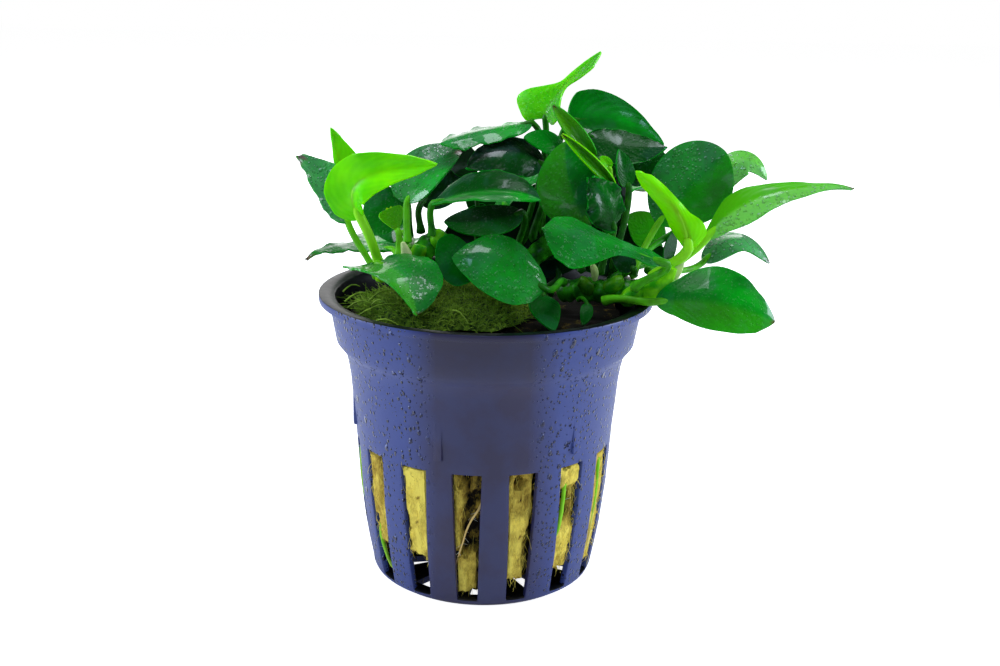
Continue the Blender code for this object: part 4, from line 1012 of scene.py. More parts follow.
def stem_material(name, colours, bump_height, gloss):
    """Living stem or root: smooth green skin, mottled in patches some 2 mm wide."""
    made, tree, shader = new_material(name)
    place = add_node(tree, "TexCoord").outputs["Object"]
    cloud = add_node(tree, "TexNoise", {"Vector": place, "Scale": per_metre(2.0), "Detail": 4.0})
    share = add_node(tree, "MapRange", {"Value": cloud.outputs[0], "From Min": 0.38,
                                        "From Max": 0.62})
    pale = add_node(tree, "Attribute", attribute_name="tone").outputs["Fac"]
    shade = add_node(tree, "Mix", {0: share.outputs[0], 6: colours[0], 7: colours[1]},
                     data_type="RGBA")
    shade = add_node(tree, "Mix", {0: pale, 6: shade.outputs[2], 7: colours[2]},
                     data_type="RGBA")
    # A tone below 0 darkens the skin nearly black: painted shade
    aged_and_shaded = add_node(tree, "Math", {0: pale, 1: -1.0}, operation="MULTIPLY", use_clamp=True)
    shade = add_node(tree, "Mix", {0: aged_and_shaded.outputs[0], 6: shade.outputs[2], 7: linear("#032406")},
                     data_type="RGBA")
    bump = add_node(tree, "Bump", {"Height": cloud.outputs[0], "Distance": bump_height * MM})
    set_inputs(tree, shader, {"Base Color": shade.outputs[2], "Normal": bump.outputs[0],
                              "Roughness": gloss, "Specular IOR Level": 0.14})
    return made


def slot_half(height):
    """Half width of a wall slot at a height."""
    share = min(max((height - SLOT_FOOT) / (SLOT_TOP - SLOT_FOOT), 0.0), 1.0)
    return SLOT_HALF_FOOT + (SLOT_HALF_TOP - SLOT_HALF_FOOT) * share


def pot_turn(across, height):
    """Turn of a wall column: its first lies on a slot's left edge, at every height."""
    columns = SLOT_COLUMNS + STRUT_COLUMNS
    step = round(across * columns * SLOT_COUNT)
    slot, column = divmod(step, columns)
    edge = math.degrees(slot_half(height) / wall_radius(height))
    middle = SLOT_START + slot * SLOT_PITCH
    if column <= SLOT_COLUMNS:
        return middle + edge * (2.0 * column / SLOT_COLUMNS - 1.0)
    strut = SLOT_PITCH - 2.0 * edge
    return middle + edge + strut * (column - SLOT_COLUMNS) / STRUT_COLUMNS


def wedge(bm, inner, outer, foot, top, half_inner, half_outer, degrees):
    """A box from an inner to an outer radius with a half width at each of them."""
    made = bmesh.ops.create_cube(bm, size=2.0)["verts"]
    for vert in made:
        near = vert.co.y > 0
        place = turned(inner if near else outer, 0.0, foot if vert.co.z < 0 else top)
        place.x = math.copysign(half_inner if near else half_outer, vert.co.x)
        vert.co = place * MM
    turn = Matrix.Rotation(math.radians(degrees), 3, "Z")
    bmesh.ops.rotate(bm, verts=made, cent=(0, 0, 0), matrix=turn)


def add_helper(name, bm):
    """An object for modifiers to work on or with, which is removed afterwards."""
    mesh = bpy.data.meshes.new(name)
    bm.to_mesh(mesh)
    bm.free()
    thing = bpy.data.objects.new(name, mesh)
    bpy.context.scene.collection.objects.link(thing)
    return thing


def make_pot(settings, wetness):
    """The net pot: a slotted sheet given its wall, with ribs added and floor slots cut."""
    bm = new_sheet()
    last = len(POT_MIDLINE) - 1

    def place(across, along):
        radius, height = POT_MIDLINE[round(along * last)]
        turn = pot_turn(across, min(max(height, SLOT_FOOT), SLOT_TOP))
        return turned(radius, turn, height)

    shaped_grid(bm, (SLOT_COLUMNS + STRUT_COLUMNS) * SLOT_COUNT, last, place)
    open_faces = []
    for face in bm.faces:
        centre = face.calc_center_median() / MM
        if not SLOT_FOOT < centre.z < SLOT_TOP:
            continue
        turn = math.degrees(math.atan2(centre.x, -centre.y))
        off = (turn - SLOT_START + SLOT_PITCH / 2) % SLOT_PITCH - SLOT_PITCH / 2
        if abs(math.radians(off)) * wall_radius(centre.z) < slot_half(centre.z):
            open_faces.append(face)
    bmesh.ops.delete(bm, geom=open_faces, context="FACES")
    close_up(bm)
    pot = add_helper("net_pot_sheet", bm)
    wall = pot.modifiers.new("wall", "SOLIDIFY")
    wall.thickness = settings.wall
    wall.offset = 0.0
    wall.use_even_offset = True
    edges = pot.modifiers.new("moulded edges", "BEVEL")
    edges.width = settings.edge
    edges.segments = 2
    edges.angle_limit = math.radians(EDGE_ANGLE)

    bm = bmesh.new()
    outside = wall_radius(RIB_FOOT) + WALL / 2
    for index in range(RIB_COUNT):
        wedge(bm, outside - WALL * RIB_SINK, outside + RIB_PROUD, RIB_FOOT, RIB_TOP,
              RIB_WIDTH / 2, RIB_WIDTH / 2, RIB_START + index * 360.0 / RIB_COUNT)
    bmesh.ops.bevel(bm, geom=bm.edges[:], offset=RIB_EDGE * MM, affect="EDGES", segments=2,
                    profile=0.5, material=-1)
    ribs = add_helper("ribs", bm)
    bm = bmesh.new()
    for index in range(FLOOR_SLOT_COUNT):
        wedge(bm, FLOOR_SLOT_INNER, FLOOR_SLOT_OUTER, *FLOOR_CUT, FLOOR_SLOT_HALF_INNER,
              FLOOR_SLOT_HALF_OUTER, index * 360.0 / FLOOR_SLOT_COUNT)
    floor_slots = add_helper("floor_slots", bm)
    for tool, operation in ((ribs, "UNION"), (floor_slots, "DIFFERENCE")):
        cut = pot.modifiers.new(tool.name, "BOOLEAN")
        cut.operation = operation
        cut.object = tool
    mesh = baked(pot)
    bpy.data.objects.remove(ribs)
    bpy.data.objects.remove(floor_slots)
    mesh.materials.clear()
    # Faces inside, on the rim and on the floor take the lining, painted nearly black as shade
    for face in mesh.polygons:
        outwards = Vector((*face.center.xy, 0.0)).normalized().dot(face.normal)
        on_rim = face.center.z > LINING_RIM * MM and face.normal.z > 0.8
        on_floor = face.center.z < LINING_FLOOR * MM and face.normal.z > 0.5
        face.material_index = int(outwards < -0.3 or on_rim or on_floor)
    add_piece("slotted_net_pot", mesh, [pot_material(settings, wetness), lining_material()],
              ["net_pot"], corner=30.0)


def slot_place(turn, height):
    """Nearest slot and the distance across it from its middle."""
    slot = round((turn - SLOT_START) / SLOT_PITCH)
    off = math.radians(turn - SLOT_START - slot * SLOT_PITCH) * wall_radius(height)
    return slot % SLOT_COUNT, off


def wool_relief(turn, height):
    """How far the wool stands out at a place on its side, and how pale it is there."""
    slot, off = slot_place(turn, height)
    rough = noise.noise(Vector((turn * 0.45, height * 0.25, 3.0)))
    ragged = noise.noise(Vector((turn * 1.6, height * 1.1, 9.0)))
    out, tone = WOOL_HOLLOW_SHADE
    for patch in WOOL_PATCHES:
        if patch.slot != slot:
            continue
        edge = 0.35 + 0.15 * rough
        inside = smooth_step(patch.left - edge, patch.left + edge, off + ragged * 0.35)
        inside *= 1.0 - smooth_step(patch.right - edge, patch.right + edge, off + ragged * 0.35)
        inside *= smooth_step(patch.low - 0.5, patch.low + 0.7, height + ragged * 0.9)
        inside *= 1.0 - smooth_step(patch.high - 0.6, patch.high + 0.5, height + ragged * 0.9)
        out += (patch.out - out) * inside
        tone += (patch.tone - tone) * inside
    out += 0.3 * rough + 0.16 * noise.noise(Vector((turn * 3.4, height * 0.5, 1.0)))
    tone += 0.16 * ragged + 0.12 * rough
    # Behind the struts, and above the slots, the wool stays inside the wall
    reach = WOOL_BACK - 0.15
    if abs(off) < slot_half(height) - 0.12 and SLOT_FOOT < height < SLOT_TOP - 0.3:
        reach = WOOL_BACK + WALL * 0.75
    return min(out, reach), tone


def wool_foot(degrees):
    """Height of the plug's ragged lower edge."""
    place = (degrees - SLOT_START) / SLOT_PITCH
    index = math.floor(place)
    share = smooth_step(0.25, 0.75, place - index)
    low, high = (WOOL_FEET[(index + step) % SLOT_COUNT] for step in (0, 1))
    return low + (high - low) * share + 0.25 * noise.noise(Vector((degrees * 0.5, 0.0, 5.0)))


def make_wool(settings):
    """The plug: a sleeve of split upright strips, closed over its foot and its top."""
    bm = new_sheet()
    tones = bm.verts.layers.float.new("tone")
    marks = {}

    def place(across, along):
        turn = across * 360.0 - 180.0
        foot = wool_foot(turn)
        side = min(max((along - WOOL_ENDS) / (1.0 - 2 * WOOL_ENDS), 0.0), 1.0)
        height = foot + (WOOL_TOP - foot) * side
        out, tone = wool_relief(turn, height)
        radius = wall_radius(height) - WALL / 2 - WOOL_BACK + out
        round_off = smooth_step(0.0, WOOL_ROUND, along)
        round_off *= 1.0 - smooth_step(1.0 - WOOL_ROUND, 1.0, along)
        radius *= min(round_off * 1.4, 1.0)
        height += 0.5 * noise.noise(turned(radius, turn, 0.0) * 0.5) * (along > 1.0 - WOOL_ENDS)
        # Painted shade: the plug's top, inside the pot under the leaves, turns dark
        tone *= 1.0 - smooth_step(0.8, 0.88, along)
        point = turned(radius, turn, height)
        marks[tuple(round(value, 3) for value in point)] = tone
        return point

    verts = shaped_grid(bm, WOOL_COLUMNS, WOOL_ROWS, place)
    for vert in verts:
        vert[tones] = marks.get(tuple(round(value, 3) for value in vert.co / MM), 0.2)
    close_up(bm)
    add_piece("rock_wool", bm, [wool_material(settings)], ["rock_wool_plug"])


def make_wool_fibres(settings):
    """Loose fibres that stand out of the wool in the slots."""
    draw = random.Random(11)
    strands = []
    for patch in WOOL_PATCHES:
        if patch.tone < 0.4:
            continue
        share = (patch.high - patch.low) * (patch.right - patch.left) / 60.0
        for _ in range(int(settings.fibres * share) + WOOL_FIBRE_LEAST):
            height = draw.uniform(patch.low, patch.high)
            off = draw.uniform(patch.left, patch.right)
            turn = SLOT_START + patch.slot * SLOT_PITCH + math.degrees(off / wall_radius(height))
            out = wool_relief(turn, height)[0]
            radius = wall_radius(height) - WALL / 2 - WOOL_BACK + out
            way = Vector((draw.uniform(-0.5, 0.5), draw.uniform(-0.25, 0.25),
                          draw.choice((-1.0, 1.0)) * draw.uniform(0.6, 1.4)))
            points = []
            reach = draw.uniform(0.8, 2.4)
            lift = draw.uniform(0.1, 0.35)
            for index in range(WOOL_FIBRE_POINTS):
                share_along = index / (WOOL_FIBRE_POINTS - 1.0)
                point = turned(radius + lift * math.sin(share_along * math.pi), turn, height)
                point += way * (reach * share_along)
                point += Vector((0.2 * noise.noise(point * 0.9), 0.0, 0.0))
                points.append(point)
            strands.append((points, draw.uniform(0.02, 0.045), int(patch.tone < 0.65)))
    colours = [fibre_material("clean_wool_fibre", settings.pale, rough=0.8),
               fibre_material("stained_wool_fibre", settings.tan, rough=0.8)]
    add_strands("wool_fibres", strands, colours)


def mound_point(turn, spread):
    """A point on the moss mound: turn in degrees, spread from 0 at its top to 1 at its rim."""
    angle = math.radians(turn)
    lump = 1.0 + 0.06 * math.sin(angle * 5.0) + 0.04 * math.sin(angle * 11.0 + 1.0)
    rise = math.sqrt(max(1.0 - spread ** 2, 0.0))
    point = Vector((MOSS_CENTRE[0] + MOSS_RADII[0] * spread * lump * math.cos(angle),
                    MOSS_CENTRE[1] + MOSS_RADII[1] * spread * lump * math.sin(angle), 0.0))
    lumps = noise.noise(point * 0.45) * 0.9 + noise.noise(point * 1.1) * 0.4
    point.z = MOSS_FOOT + MOSS_HEIGHT * rise + lumps * rise
    return point


def make_moss(settings):
    """The moss: a lumpy mat, thousands of fine threads on it, and longer young strands."""
    bm = new_sheet()

    def place(across, along):
        if along < MOSS_UNDER:
            rim = mound_point(across * 360.0, 0.98)
            centre = Vector((*MOSS_CENTRE, MOSS_FOOT))
            return centre.lerp(rim, along / MOSS_UNDER)
        return mound_point(across * 360.0, 1.0 - (along - MOSS_UNDER) / (1.0 - MOSS_UNDER))

    shaped_grid(bm, MOSS_COLUMNS, MOSS_ROWS, place)
    close_up(bm)
    add_piece("moss_mat", bm, [moss_material(settings)], ["moss_mound"])

    draw = random.Random(5)
    strands = []
    for _ in range(settings.threads):
        turn = draw.uniform(0.0, 360.0)
        spread = math.sqrt(draw.uniform(0.0, 1.0)) * 0.98
        start = mound_point(turn, spread)
        out = (start - Vector((*MOSS_CENTRE, MOSS_FOOT - MOSS_HEART))).normalized()
        way = (out + Vector((draw.uniform(-1, 1), draw.uniform(-1, 1), draw.uniform(-0.3, 0.6)))
               ).normalized()
        reach = draw.uniform(1.0, 2.6)
        curl = Vector((draw.uniform(-1, 1), draw.uniform(-1, 1), draw.uniform(-1, 0.2))) * 0.5
        points = [start + way * (reach * share) + curl * (reach * share * share)
                  for share in (0.0, 0.35, 0.7, 1.0)]
        strands.append((points, draw.uniform(0.05, 0.1), draw.choice((0, 0, 0, 1, 1, 1, 1, 2, 2))))
    for start, end in MOSS_STRANDS:
        start, end = Vector(start), Vector(end)
        rise = Vector((0.0, 0.0, STRAND_RISE))
        strands.append(([start.lerp(end, share) + rise * math.sin(share * math.pi)
                         for share in (0.0, 0.25, 0.5, 0.75, 1.0)], STRAND_RADIUS, 2))
    colours = [fibre_material("old_moss", settings.shade, rough=0.7),
               fibre_material("moss_stem", settings.olive, rough=0.6),
               fibre_material("young_moss", settings.bright, rough=0.5)]
    add_strands("moss_threads", strands, colours)


def root_point(turn, height, depth):
    """A point on a root's line, at a depth behind the wall's inner face."""
    return turned(wall_radius(height) - WALL / 2 - depth, turn, height)


def eased(before, start, end, after, share):
    """A point or value on the smooth curve from start to end, which heeds both neighbours."""
    return 0.5 * (start * 2.0 + (end - before) * share
                  + (before * 2.0 - start * 5.0 + end * 4.0 - after) * share ** 2
                  + (start * 3.0 - before - end * 3.0 + after) * share ** 3)


def smooth_line(points, steps):
    """Points on a smooth curve through the given ones."""
    line = []
    last = len(points) - 1
    for index in range(last):
        before = points[max(index - 1, 0)]
        start, end = points[index], points[index + 1]
        after = points[min(index + 2, last)]
        for step in range(steps):
            line.append(eased(before, start, end, after, step / steps))
    line.append(points[-1])
    return line


def thick_line(line, steps):
    """Smooth centre points and the radius at each, from points that hold their radius."""
    points = smooth_line([Vector(point[:3]) for point in line], steps)
    widths = smooth_line([Vector((point[3], 0.0, 0.0)) for point in line], steps)
    return points, [width.x for width in widths]


def make_roots(settings):
    """Roots behind the slots, green at the top and pale where they age, with fine hairs."""
    skin = stem_material("root_skin", [settings.root, linear("#96E030"), settings.root_pale],
                         bump_height=0.05, gloss=0.45)
    draw = random.Random(23)
    hairs = []
    for name, root in ROOTS.items():
        way = smooth_line([Vector(point) for point in root.line], ROOT_STEPS)
        line = [root_point(*point) for point in way]
        last = len(line) - 1
        radii = []
        for index in range(len(line)):
            taper = 1.0 - ROOT_TAPER * index / last
            radii.append(root.thick * taper * (1.0 + 0.12 * noise.noise(line[index] * 1.3)))
        radii[0] = radii[-1] = 0.0
        bm = new_sheet()
        pale = bm.verts.layers.float.new("tone")
        for vert in add_tube(bm, line, radii, ROOT_SIDES):
            height = vert.co.z / MM
            vert[pale] = root.pale * (1.0 - smooth_step(root.green - ROOT_FADE,
                                                        root.green + ROOT_FADE, height))
        close_up(bm)
        add_piece(name + "_skin", bm, [skin], [name])
        for _ in range(ROOT_HAIRS):
            index = draw.randrange(last // 3, last)
            start = line[index]
            way = Vector((draw.uniform(-1, 1), draw.uniform(-0.3, 0.3), draw.uniform(-1, 0.3)))
            reach = draw.uniform(0.5, 1.4)
            hairs.append(([start + way * (reach * share) for share in (0.0, 0.5, 1.0)],
                          HAIR_RADIUS, 0))
    hair = fibre_material("root_hair", linear("#E9E7CF"), rough=0.6)
    add_strands("root_hairs", hairs, [hair])


def make_rhizomes(settings):
    """Ringed creeping stems."""
    skin = stem_material("rhizome_skin", [linear("#0C4A0C"), settings.rhizome,
                                          linear("#A8B04A")], bump_height=0.12, gloss=0.3)
    for name, line in RHIZOMES.items():
        points, widths = thick_line(line, RHIZOME_STEPS)
        last = len(points) - 1
        radii = []
        for index, width in enumerate(widths):
            ring = RHIZOME_RING * math.sin(index * math.tau / RHIZOME_STEPS)
            radii.append(width * (1.0 + ring))
        for index, share in enumerate(RHIZOME_ENDS):
            radii[index] *= share
            radii[last - index] *= share
        bm = new_sheet()
        bm.verts.layers.float.new("tone")
        add_tube(bm, points, radii, RHIZOME_SIDES)
        close_up(bm)
        add_piece(name + "_skin", bm, [skin], [name])


def make_sheaths():
    """Swollen bases of young stalks on the creeping stems, and old dry sheaths beside them."""
    skin = stem_material("stalk_sheath", [linear("#2FA80E"), linear("#7FDC10"),
                                          linear("#D9DCA0")], bump_height=0.05, gloss=0.35)
    bm = new_sheet()
    tones = bm.verts.layers.float.new("tone")
    for line, dry in SHEATHS:
        points, widths = thick_line(line, SHEATH_STEPS)
        radii = [width * (1.0 + 0.08 * noise.noise(point * 0.9))
                 for point, width in zip(points, widths)]
        radii[0] = radii[-1] = 0.0
        radii[1] *= 0.7
        tube = add_tube(bm, points, radii, SHEATH_SIDES)
        for vert in tube:
            vert[tones] = dry
        bmesh.ops.remove_doubles(bm, verts=tube, dist=MERGE)
    bmesh.ops.recalc_face_normals(bm, faces=bm.faces)
    add_piece("stalk_sheaths", bm, [skin])


def bezier(p0, p1, p2, p3, share):
    """Point on a cubic curve."""
    rest = 1.0 - share
    return p0 * rest**3 + p1 * 3 * rest**2 * share + p2 * 3 * rest * share**2 + p3 * share**3


def midrib(leaf, share):
    """Point and direction on the arch from the heel through the middle to the tip."""
    heel, middle, tip = Vector(leaf.heel), Vector(leaf.middle), Vector(leaf.tip)
    bend = middle * 2.0 - (heel + tip) * 0.5
    rest = 1.0 - share
    centre = heel * rest**2 + bend * (2 * rest * share) + tip * share**2
    return centre, ((bend - heel) * rest + (tip - bend) * share).normalized()


def upper_face(leaf, along):
    """Direction that the upper face looks in, square to the midrib's."""
    face = Vector(leaf.face).normalized()
    return (face - along * face.dot(along)).normalized()


def between(values, share):
    """Smooth value at a share of the way along evenly spaced ones."""
    place = min(max(share, 0.0), 1.0) * (len(values) - 1)
    index = min(int(place), len(values) - 2)
    share = place - index
    before, start = values[max(index - 1, 0)], values[index]
    end, after = values[index + 1], values[min(index + 2, len(values) - 1)]
    return eased(before, start, end, after, share)


def half_width(leaf, half, share):
    """Width of one half of a blade, from its heel at 0 to its tip at 1."""
    if leaf.outline:
        widths = leaf.outline[half]
        # Both ends are round: the width there grows as the root of the way
        start_round = min(share * 8.0, 1.0)
        end_round = min((1.0 - share) * 8.0, 1.0)
        if start_round < 1.0:
            return max(widths[0] * start_round**0.5, TIP_HALF_WIDTH * start_round)
        if end_round < 1.0:
            return max(widths[-1] * end_round**0.75, TIP_HALF_WIDTH * end_round)
        return between(widths, (share - 0.125) / 0.75)
    base_power = OUTLINE_POWER * leaf.widest
    tip_power = OUTLINE_POWER - base_power
    here = share**base_power * (1.0 - share)**tip_power
    most = leaf.widest**base_power * (1.0 - leaf.widest)**tip_power
    ends = min(share * 20.0, (1.0 - share) * 20.0, 1.0)
    return max(leaf.width / 2 * here / most, TIP_HALF_WIDTH * ends)


def blade_point(leaf, across, share):
    """A point on the blade: across from -1 to 1, share from its heel to its tip."""
    centre, along = midrib(leaf, share)
    normal = upper_face(leaf, along)
    side = along.cross(normal)
    half = 0 if across < 0 else 1
    lift = math.radians(leaf.cup + leaf.fold[half])
    bend = math.radians(leaf.roll[half]) * abs(across)
    reach = half_width(leaf, half, share) * abs(across) / math.cos(math.radians(leaf.cup))
    if abs(bend) > 0.001:
        reach *= math.sin(bend / 2) / (bend / 2)
    # The blade leaves the midrib level and takes up its lift over the first part of the way
    turn = (lift + bend / 2) * smooth_step(-0.25, 0.6, abs(across))
    point = centre + side * math.copysign(reach * math.cos(turn), across)
    point += normal * (reach * math.sin(turn))
    point -= along * (leaf.sweep[half] * (1.0 - share)**3 * across**2 * min(share * 12.0, 1.0))
    ripple = math.sin(share * WAVES[0] + half * 2.0 + leaf.width) * abs(across)**3
    ripple += 0.5 * math.sin(share * WAVES[1] + half * 3.0 + leaf.width) * abs(across)**5
    point += normal * (leaf.wave * ripple + BLADE_UNEVEN * noise.noise(point * 0.28))
    past = max((share - HOOK_START) / (1.0 - HOOK_START), 0.0)
    return point - normal * (leaf.hook * past**2)


def stalk_line(leaf):
    """The stalk from its foot to the heel, and on under the blade as the midrib's keel."""
    start = midrib(leaf, 0.0)[1]
    foot, heel = Vector(leaf.foot), Vector(leaf.heel)
    stem = heel - foot
    arrive = (start + stem.normalized()).normalized()
    leave = (stem.normalized() + Vector((0.0, 0.0, STALK_RISE))).normalized()
    lower = foot + leave * (stem.length * STALK_REACH)
    upper = heel - arrive * (stem.length * STALK_REACH)
    line, radii = [], []
    for step in range(STALK_STEPS):
        share = step / STALK_STEPS
        line.append(bezier(foot, lower, upper, heel, share))
        slim = smooth_step(0.0, 0.35, share)
        radii.append(leaf.stalk * (STALK_FOOT - (STALK_FOOT - STALK_HEEL) * slim))
    for step in range(STALK_STEPS + 1):
        share = MIDRIB_REACH * step / STALK_STEPS
        centre, along = midrib(leaf, share)
        radius = leaf.stalk * STALK_HEEL * (1.0 - share / MIDRIB_REACH)**0.7
        sunk = radius * 0.8 * smooth_step(0.0, 0.12, share) + BLADE_THICKNESS * 0.45
        line.append(centre - upper_face(leaf, along) * (sunk * min(share * 10.0, 1.0)))
        radii.append(radius)
    radii[0] = 0.0
    radii[-1] = 0.0
    return line, radii


def make_leaf(leaf, blade_skin, stalk_skin):
    """One leaf: a cupped blade with its thickness, and the stalk that runs on as its midrib."""
    bm = new_sheet()
    marks = {mark: bm.verts.layers.float.new(mark) for mark in ("beads", "brown", "tone")}
    back = bm.verts.layers.float_vector.new("back")
    flat = bmesh.ops.create_grid(bm, x_segments=BLADE_COLUMNS, y_segments=BLADE_ROWS, size=0.5,
                                 calc_uvs=True)["verts"]
    for vert in flat:
        across = vert.co.x * 2.0
        share = 0.5 - 0.5 * math.cos((vert.co.y + 0.5) * math.pi)
        half = smooth_step(-0.15, 0.15, across)
        edge = 1.0 - leaf.brown * (1.0 + 0.5 * math.sin(across * 5.0))
        if leaf.brown:
            vert[marks["brown"]] = smooth_step(edge - 0.03, edge + 0.02, share)
        for mark, values in (("beads", leaf.beads), ("tone", leaf.tone)):
            vert[marks[mark]] = values[0] + (values[1] - values[0]) * half
        vert.co = blade_point(leaf, across, share) * MM
    close_up(bm)
    centre, along = midrib(leaf, 0.5)
    near = min(bm.faces, key=lambda face: (face.calc_center_median() / MM - centre).length)
    if near.normal.dot(upper_face(leaf, along)) < 0:
        bmesh.ops.reverse_faces(bm, faces=bm.faces)
    # The underside is the same sheet, moved back along its own normals
    bm.normal_update()
    for vert in bm.verts:
        vert[back] = vert.normal * (-BLADE_THICKNESS * MM)
    made = bmesh.ops.extrude_face_region(bm, geom=bm.faces[:], use_keep_orig=True)["geom"]
    for vert in [item for item in made if isinstance(item, bmesh.types.BMVert)]:
        vert.co += vert[back]
    bmesh.ops.recalc_face_normals(bm, faces=bm.faces)
    blade_faces = set(bm.faces)
    line, radii = stalk_line(leaf)
    stalk = add_tube(bm, line, radii, STALK_SIDES)
    for vert in stalk:
        vert[marks["tone"]] = leaf.stalk_tone
    bmesh.ops.remove_doubles(bm, verts=stalk, dist=MERGE)
    stalk_faces = [face for face in bm.faces if face not in blade_faces]
    for face in stalk_faces:
        face.material_index = 1
    bmesh.ops.recalc_face_normals(bm, faces=stalk_faces)
    bm.verts.layers.float_vector.remove(back)
    nodes = [leaf.name] if leaf.name.startswith("leaf_") else []
    add_piece(leaf.name.replace("leaf_", "") + "_leaf", bm, [blade_skin, stalk_skin],
              nodes, corner=LEAF_CORNER)


def leaf_skins(settings):
    """The blade materials by age and the stalk's, made once."""
    if "mature_leaf_cuticle" not in bpy.data.materials:
        leaf_material("mature_leaf_cuticle", settings, settings.mature_dark, settings.mature,
                      gloss=0.3, coat=0.9, see_through=0.06)
        leaf_material("young_leaf_cuticle", settings, settings.young_deep, settings.young,
                      gloss=0.34, coat=0.1, see_through=0.6)
        stem_material("leaf_stalk", [linear("#1E7A10"), settings.stalk, linear("#8CE81E")],
                      bump_height=0.03, gloss=0.35)
    made = bpy.data.materials
    return {"mature": made["mature_leaf_cuticle"], "young": made["young_leaf_cuticle"],
            "stalk": made["leaf_stalk"]}


def make_leaves(leaves, settings):
    """Every leaf of a group."""
    skins = leaf_skins(settings)
    for leaf in leaves:
        make_leaf(leaf, skins[leaf.age], skins["stalk"])


def add_lamp(name, place, size, power, colour):
    """A soft square lamp that points at the plant."""
    light = bpy.data.lights.new(name, "AREA")
    light.shape = "SQUARE"
    light.size = size * MM
    light.energy = power
    light.color = linear(colour)[:3]
    lamp = bpy.data.objects.new(name, light)
    lamp.location = Vector(place) * MM
    way = Vector(LAMP_AIM) - Vector(place)
    lamp.rotation_euler = way.to_track_quat("-Z", "Y").to_euler()
    bpy.context.scene.collection.objects.link(lamp)


def make_stage(settings):
    """Plain pale floor, white surround, soft lamps and the camera."""
    scene = bpy.context.scene
    bm = bmesh.new()
    bmesh.ops.create_grid(bm, x_segments=1, y_segments=1, size=FLOOR_SIZE * MM / 2)
    mesh = bpy.data.meshes.new("floor")
    bm.to_mesh(mesh)
    bm.free()
    floor = bpy.data.objects.new("floor", mesh)
    scene.collection.objects.link(floor)
    made, tree, shader = new_material("white_paper")
    straight = add_node(tree, "LightPath").outputs["Is Camera Ray"]
    glow = add_node(tree, "MapRange", {"Value": straight, "To Min": FLOOR_GLOW[0],
                                       "To Max": FLOOR_GLOW[1]})
    set_inputs(tree, shader, {"Base Color": linear("#F4F4F4"), "Roughness": 0.9,
                              "Specular IOR Level": 0.0, "Emission Color": linear("#FFFFFF"),
                              "Emission Strength": glow.outputs[0]})
    mesh.materials.append(made)

    # The surround is white to the camera and dimmer as a light, which keeps the greens deep
    world = bpy.data.worlds.new("studio")
    world.use_nodes = True
    air = world.node_tree
    straight = add_node(air, "LightPath").outputs["Is Camera Ray"]
    power = add_node(air, "MapRange", {"Value": straight, "To Min": settings.sky, "To Max": 1.0})
    set_inputs(air, air.nodes["Background"], {"Color": linear("#FFFFFF"),
                                              "Strength": power.outputs[0]})
    scene.world = world
    for name, place, size, power, colour in LAMPS:
        add_lamp(name, place, size, power * settings.lamps, colour)

    lens = bpy.data.cameras.new("camera")
    lens.lens = CAMERA_LENS
    lens.sensor_width = CAMERA_SENSOR
    lens.clip_start = CAMERA_NEAR * MM
    camera = bpy.data.objects.new("camera", lens)
    camera.location = Vector(CAMERA_PLACE) * MM
    tilt = Matrix.Rotation(math.radians(90.0 - CAMERA_PITCH), 4, "X")
    roll = Matrix.Rotation(math.radians(CAMERA_ROLL), 4, "Z")
    camera.rotation_euler = (tilt @ roll).to_euler()
    scene.collection.objects.link(camera)
    scene.camera = camera
    scene.view_settings.view_transform = "Standard"


class ANUBIAS_OT_pot(bpy.types.Operator):
    """Make the slotted net pot"""

    bl_idname = "anubias.make_pot"
    bl_label = "Net pot"

    def execute(self, context):
        make_pot(context.scene.anubias_pot, context.scene.anubias_plant.wetness)
        return {"FINISHED"}


class ANUBIAS_OT_wool(bpy.types.Operator):
    """Make the rock wool plug and its loose fibres"""

    bl_idname = "anubias.make_wool"
    bl_label = "Rock wool"

    def execute(self, context):
        make_wool(context.scene.anubias_wool)
        make_wool_fibres(context.scene.anubias_wool)
        return {"FINISHED"}


class ANUBIAS_OT_moss(bpy.types.Operator):
    """Make the moss mat and its threads"""

    bl_idname = "anubias.make_moss"
    bl_label = "Moss"

    def execute(self, context):
        make_moss(context.scene.anubias_moss)
        return {"FINISHED"}


class ANUBIAS_OT_roots(bpy.types.Operator):
    """Make the roots and their hairs"""

    bl_idname = "anubias.make_roots"
    bl_label = "Roots"

    def execute(self, context):
        make_roots(context.scene.anubias_plant)
        return {"FINISHED"}


class ANUBIAS_OT_rhizomes(bpy.types.Operator):
    """Make the creeping stems"""

    bl_idname = "anubias.make_rhizomes"
    bl_label = "Rhizomes"

    def execute(self, context):
        make_rhizomes(context.scene.anubias_plant)
        return {"FINISHED"}


class ANUBIAS_OT_sheaths(bpy.types.Operator):
    """Make the stalk bases and dry sheaths"""

    bl_idname = "anubias.make_sheaths"
    bl_label = "Sheaths"

    def execute(self, context):
        make_sheaths()
        return {"FINISHED"}


class ANUBIAS_OT_left_leaves(bpy.types.Operator):
    """Make the leaves of the left rhizome"""

    bl_idname = "anubias.make_left_leaves"
    bl_label = "Left leaves"

    def execute(self, context):
        make_leaves(LEFT_LEAVES, context.scene.anubias_plant)
        return {"FINISHED"}


class ANUBIAS_OT_middle_leaves(bpy.types.Operator):
    """Make the leaves of the middle rhizome"""

    bl_idname = "anubias.make_middle_leaves"
    bl_label = "Middle leaves"

    def execute(self, context):
        make_leaves(MIDDLE_LEAVES, context.scene.anubias_plant)
        return {"FINISHED"}


class ANUBIAS_OT_right_leaves(bpy.types.Operator):
    """Make the leaves of the right rhizome"""

    bl_idname = "anubias.make_right_leaves"
    bl_label = "Right leaves"

    def execute(self, context):
        make_leaves(RIGHT_LEAVES, context.scene.anubias_plant)
        return {"FINISHED"}


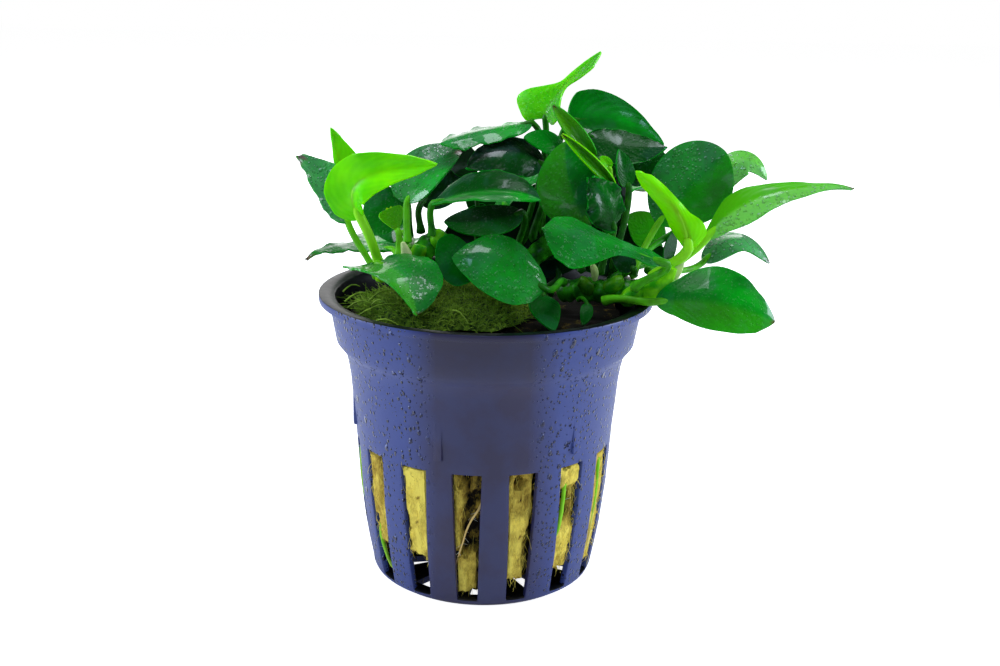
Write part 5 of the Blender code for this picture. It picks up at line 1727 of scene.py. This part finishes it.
class ANUBIAS_OT_shaded_leaves(bpy.types.Operator):
    """Make the leaves deep inside the clump"""

    bl_idname = "anubias.make_shaded_leaves"
    bl_label = "Shaded leaves"

    def execute(self, context):
        make_leaves(SHADED_LEAVES, context.scene.anubias_plant)
        return {"FINISHED"}


class ANUBIAS_OT_stage(bpy.types.Operator):
    """Make the floor, the light and the camera"""

    bl_idname = "anubias.make_stage"
    bl_label = "Stage"

    def execute(self, context):
        make_stage(context.scene.anubias_stage)
        return {"FINISHED"}


OPERATORS = (ANUBIAS_OT_stage, ANUBIAS_OT_pot, ANUBIAS_OT_wool, ANUBIAS_OT_moss, ANUBIAS_OT_roots,
             ANUBIAS_OT_rhizomes, ANUBIAS_OT_sheaths, ANUBIAS_OT_left_leaves,
             ANUBIAS_OT_middle_leaves, ANUBIAS_OT_right_leaves, ANUBIAS_OT_shaded_leaves)
SETTINGS = {"anubias_pot": PotSettings, "anubias_wool": WoolSettings, "anubias_moss": MossSettings,
            "anubias_plant": PlantSettings, "anubias_stage": StageSettings}


class ANUBIAS_PT_panel(bpy.types.Panel):
    """The pieces to make, with their sizes and colours."""

    bl_idname = "ANUBIAS_PT_panel"
    bl_label = "Potted Petite Anubias"
    bl_space_type = "VIEW_3D"
    bl_region_type = "UI"
    bl_category = "Anubias"

    def draw(self, context):
        for operator in OPERATORS:
            self.layout.operator(operator.bl_idname)
        for name in SETTINGS:
            box = self.layout.box()
            group = getattr(context.scene, name)
            for value in group.bl_rna.properties:
                if not value.is_readonly and value.identifier != "name":
                    box.prop(group, value.identifier)


def register():
    for name, group in SETTINGS.items():
        bpy.utils.register_class(group)
        setattr(bpy.types.Scene, name, bpy.props.PointerProperty(type=group))
    for kind in (*OPERATORS, ANUBIAS_PT_panel):
        bpy.utils.register_class(kind)


def unregister():
    for kind in (ANUBIAS_PT_panel, *reversed(OPERATORS)):
        bpy.utils.unregister_class(kind)
    for name, group in SETTINGS.items():
        delattr(bpy.types.Scene, name)
        bpy.utils.unregister_class(group)


def main():
    """Register the add-on, then make every piece and the stage."""
    register()
    for operator in OPERATORS:
        area, name = operator.bl_idname.split(".")
        getattr(getattr(bpy.ops, area), name)()


if __name__ == "__main__":
    main()
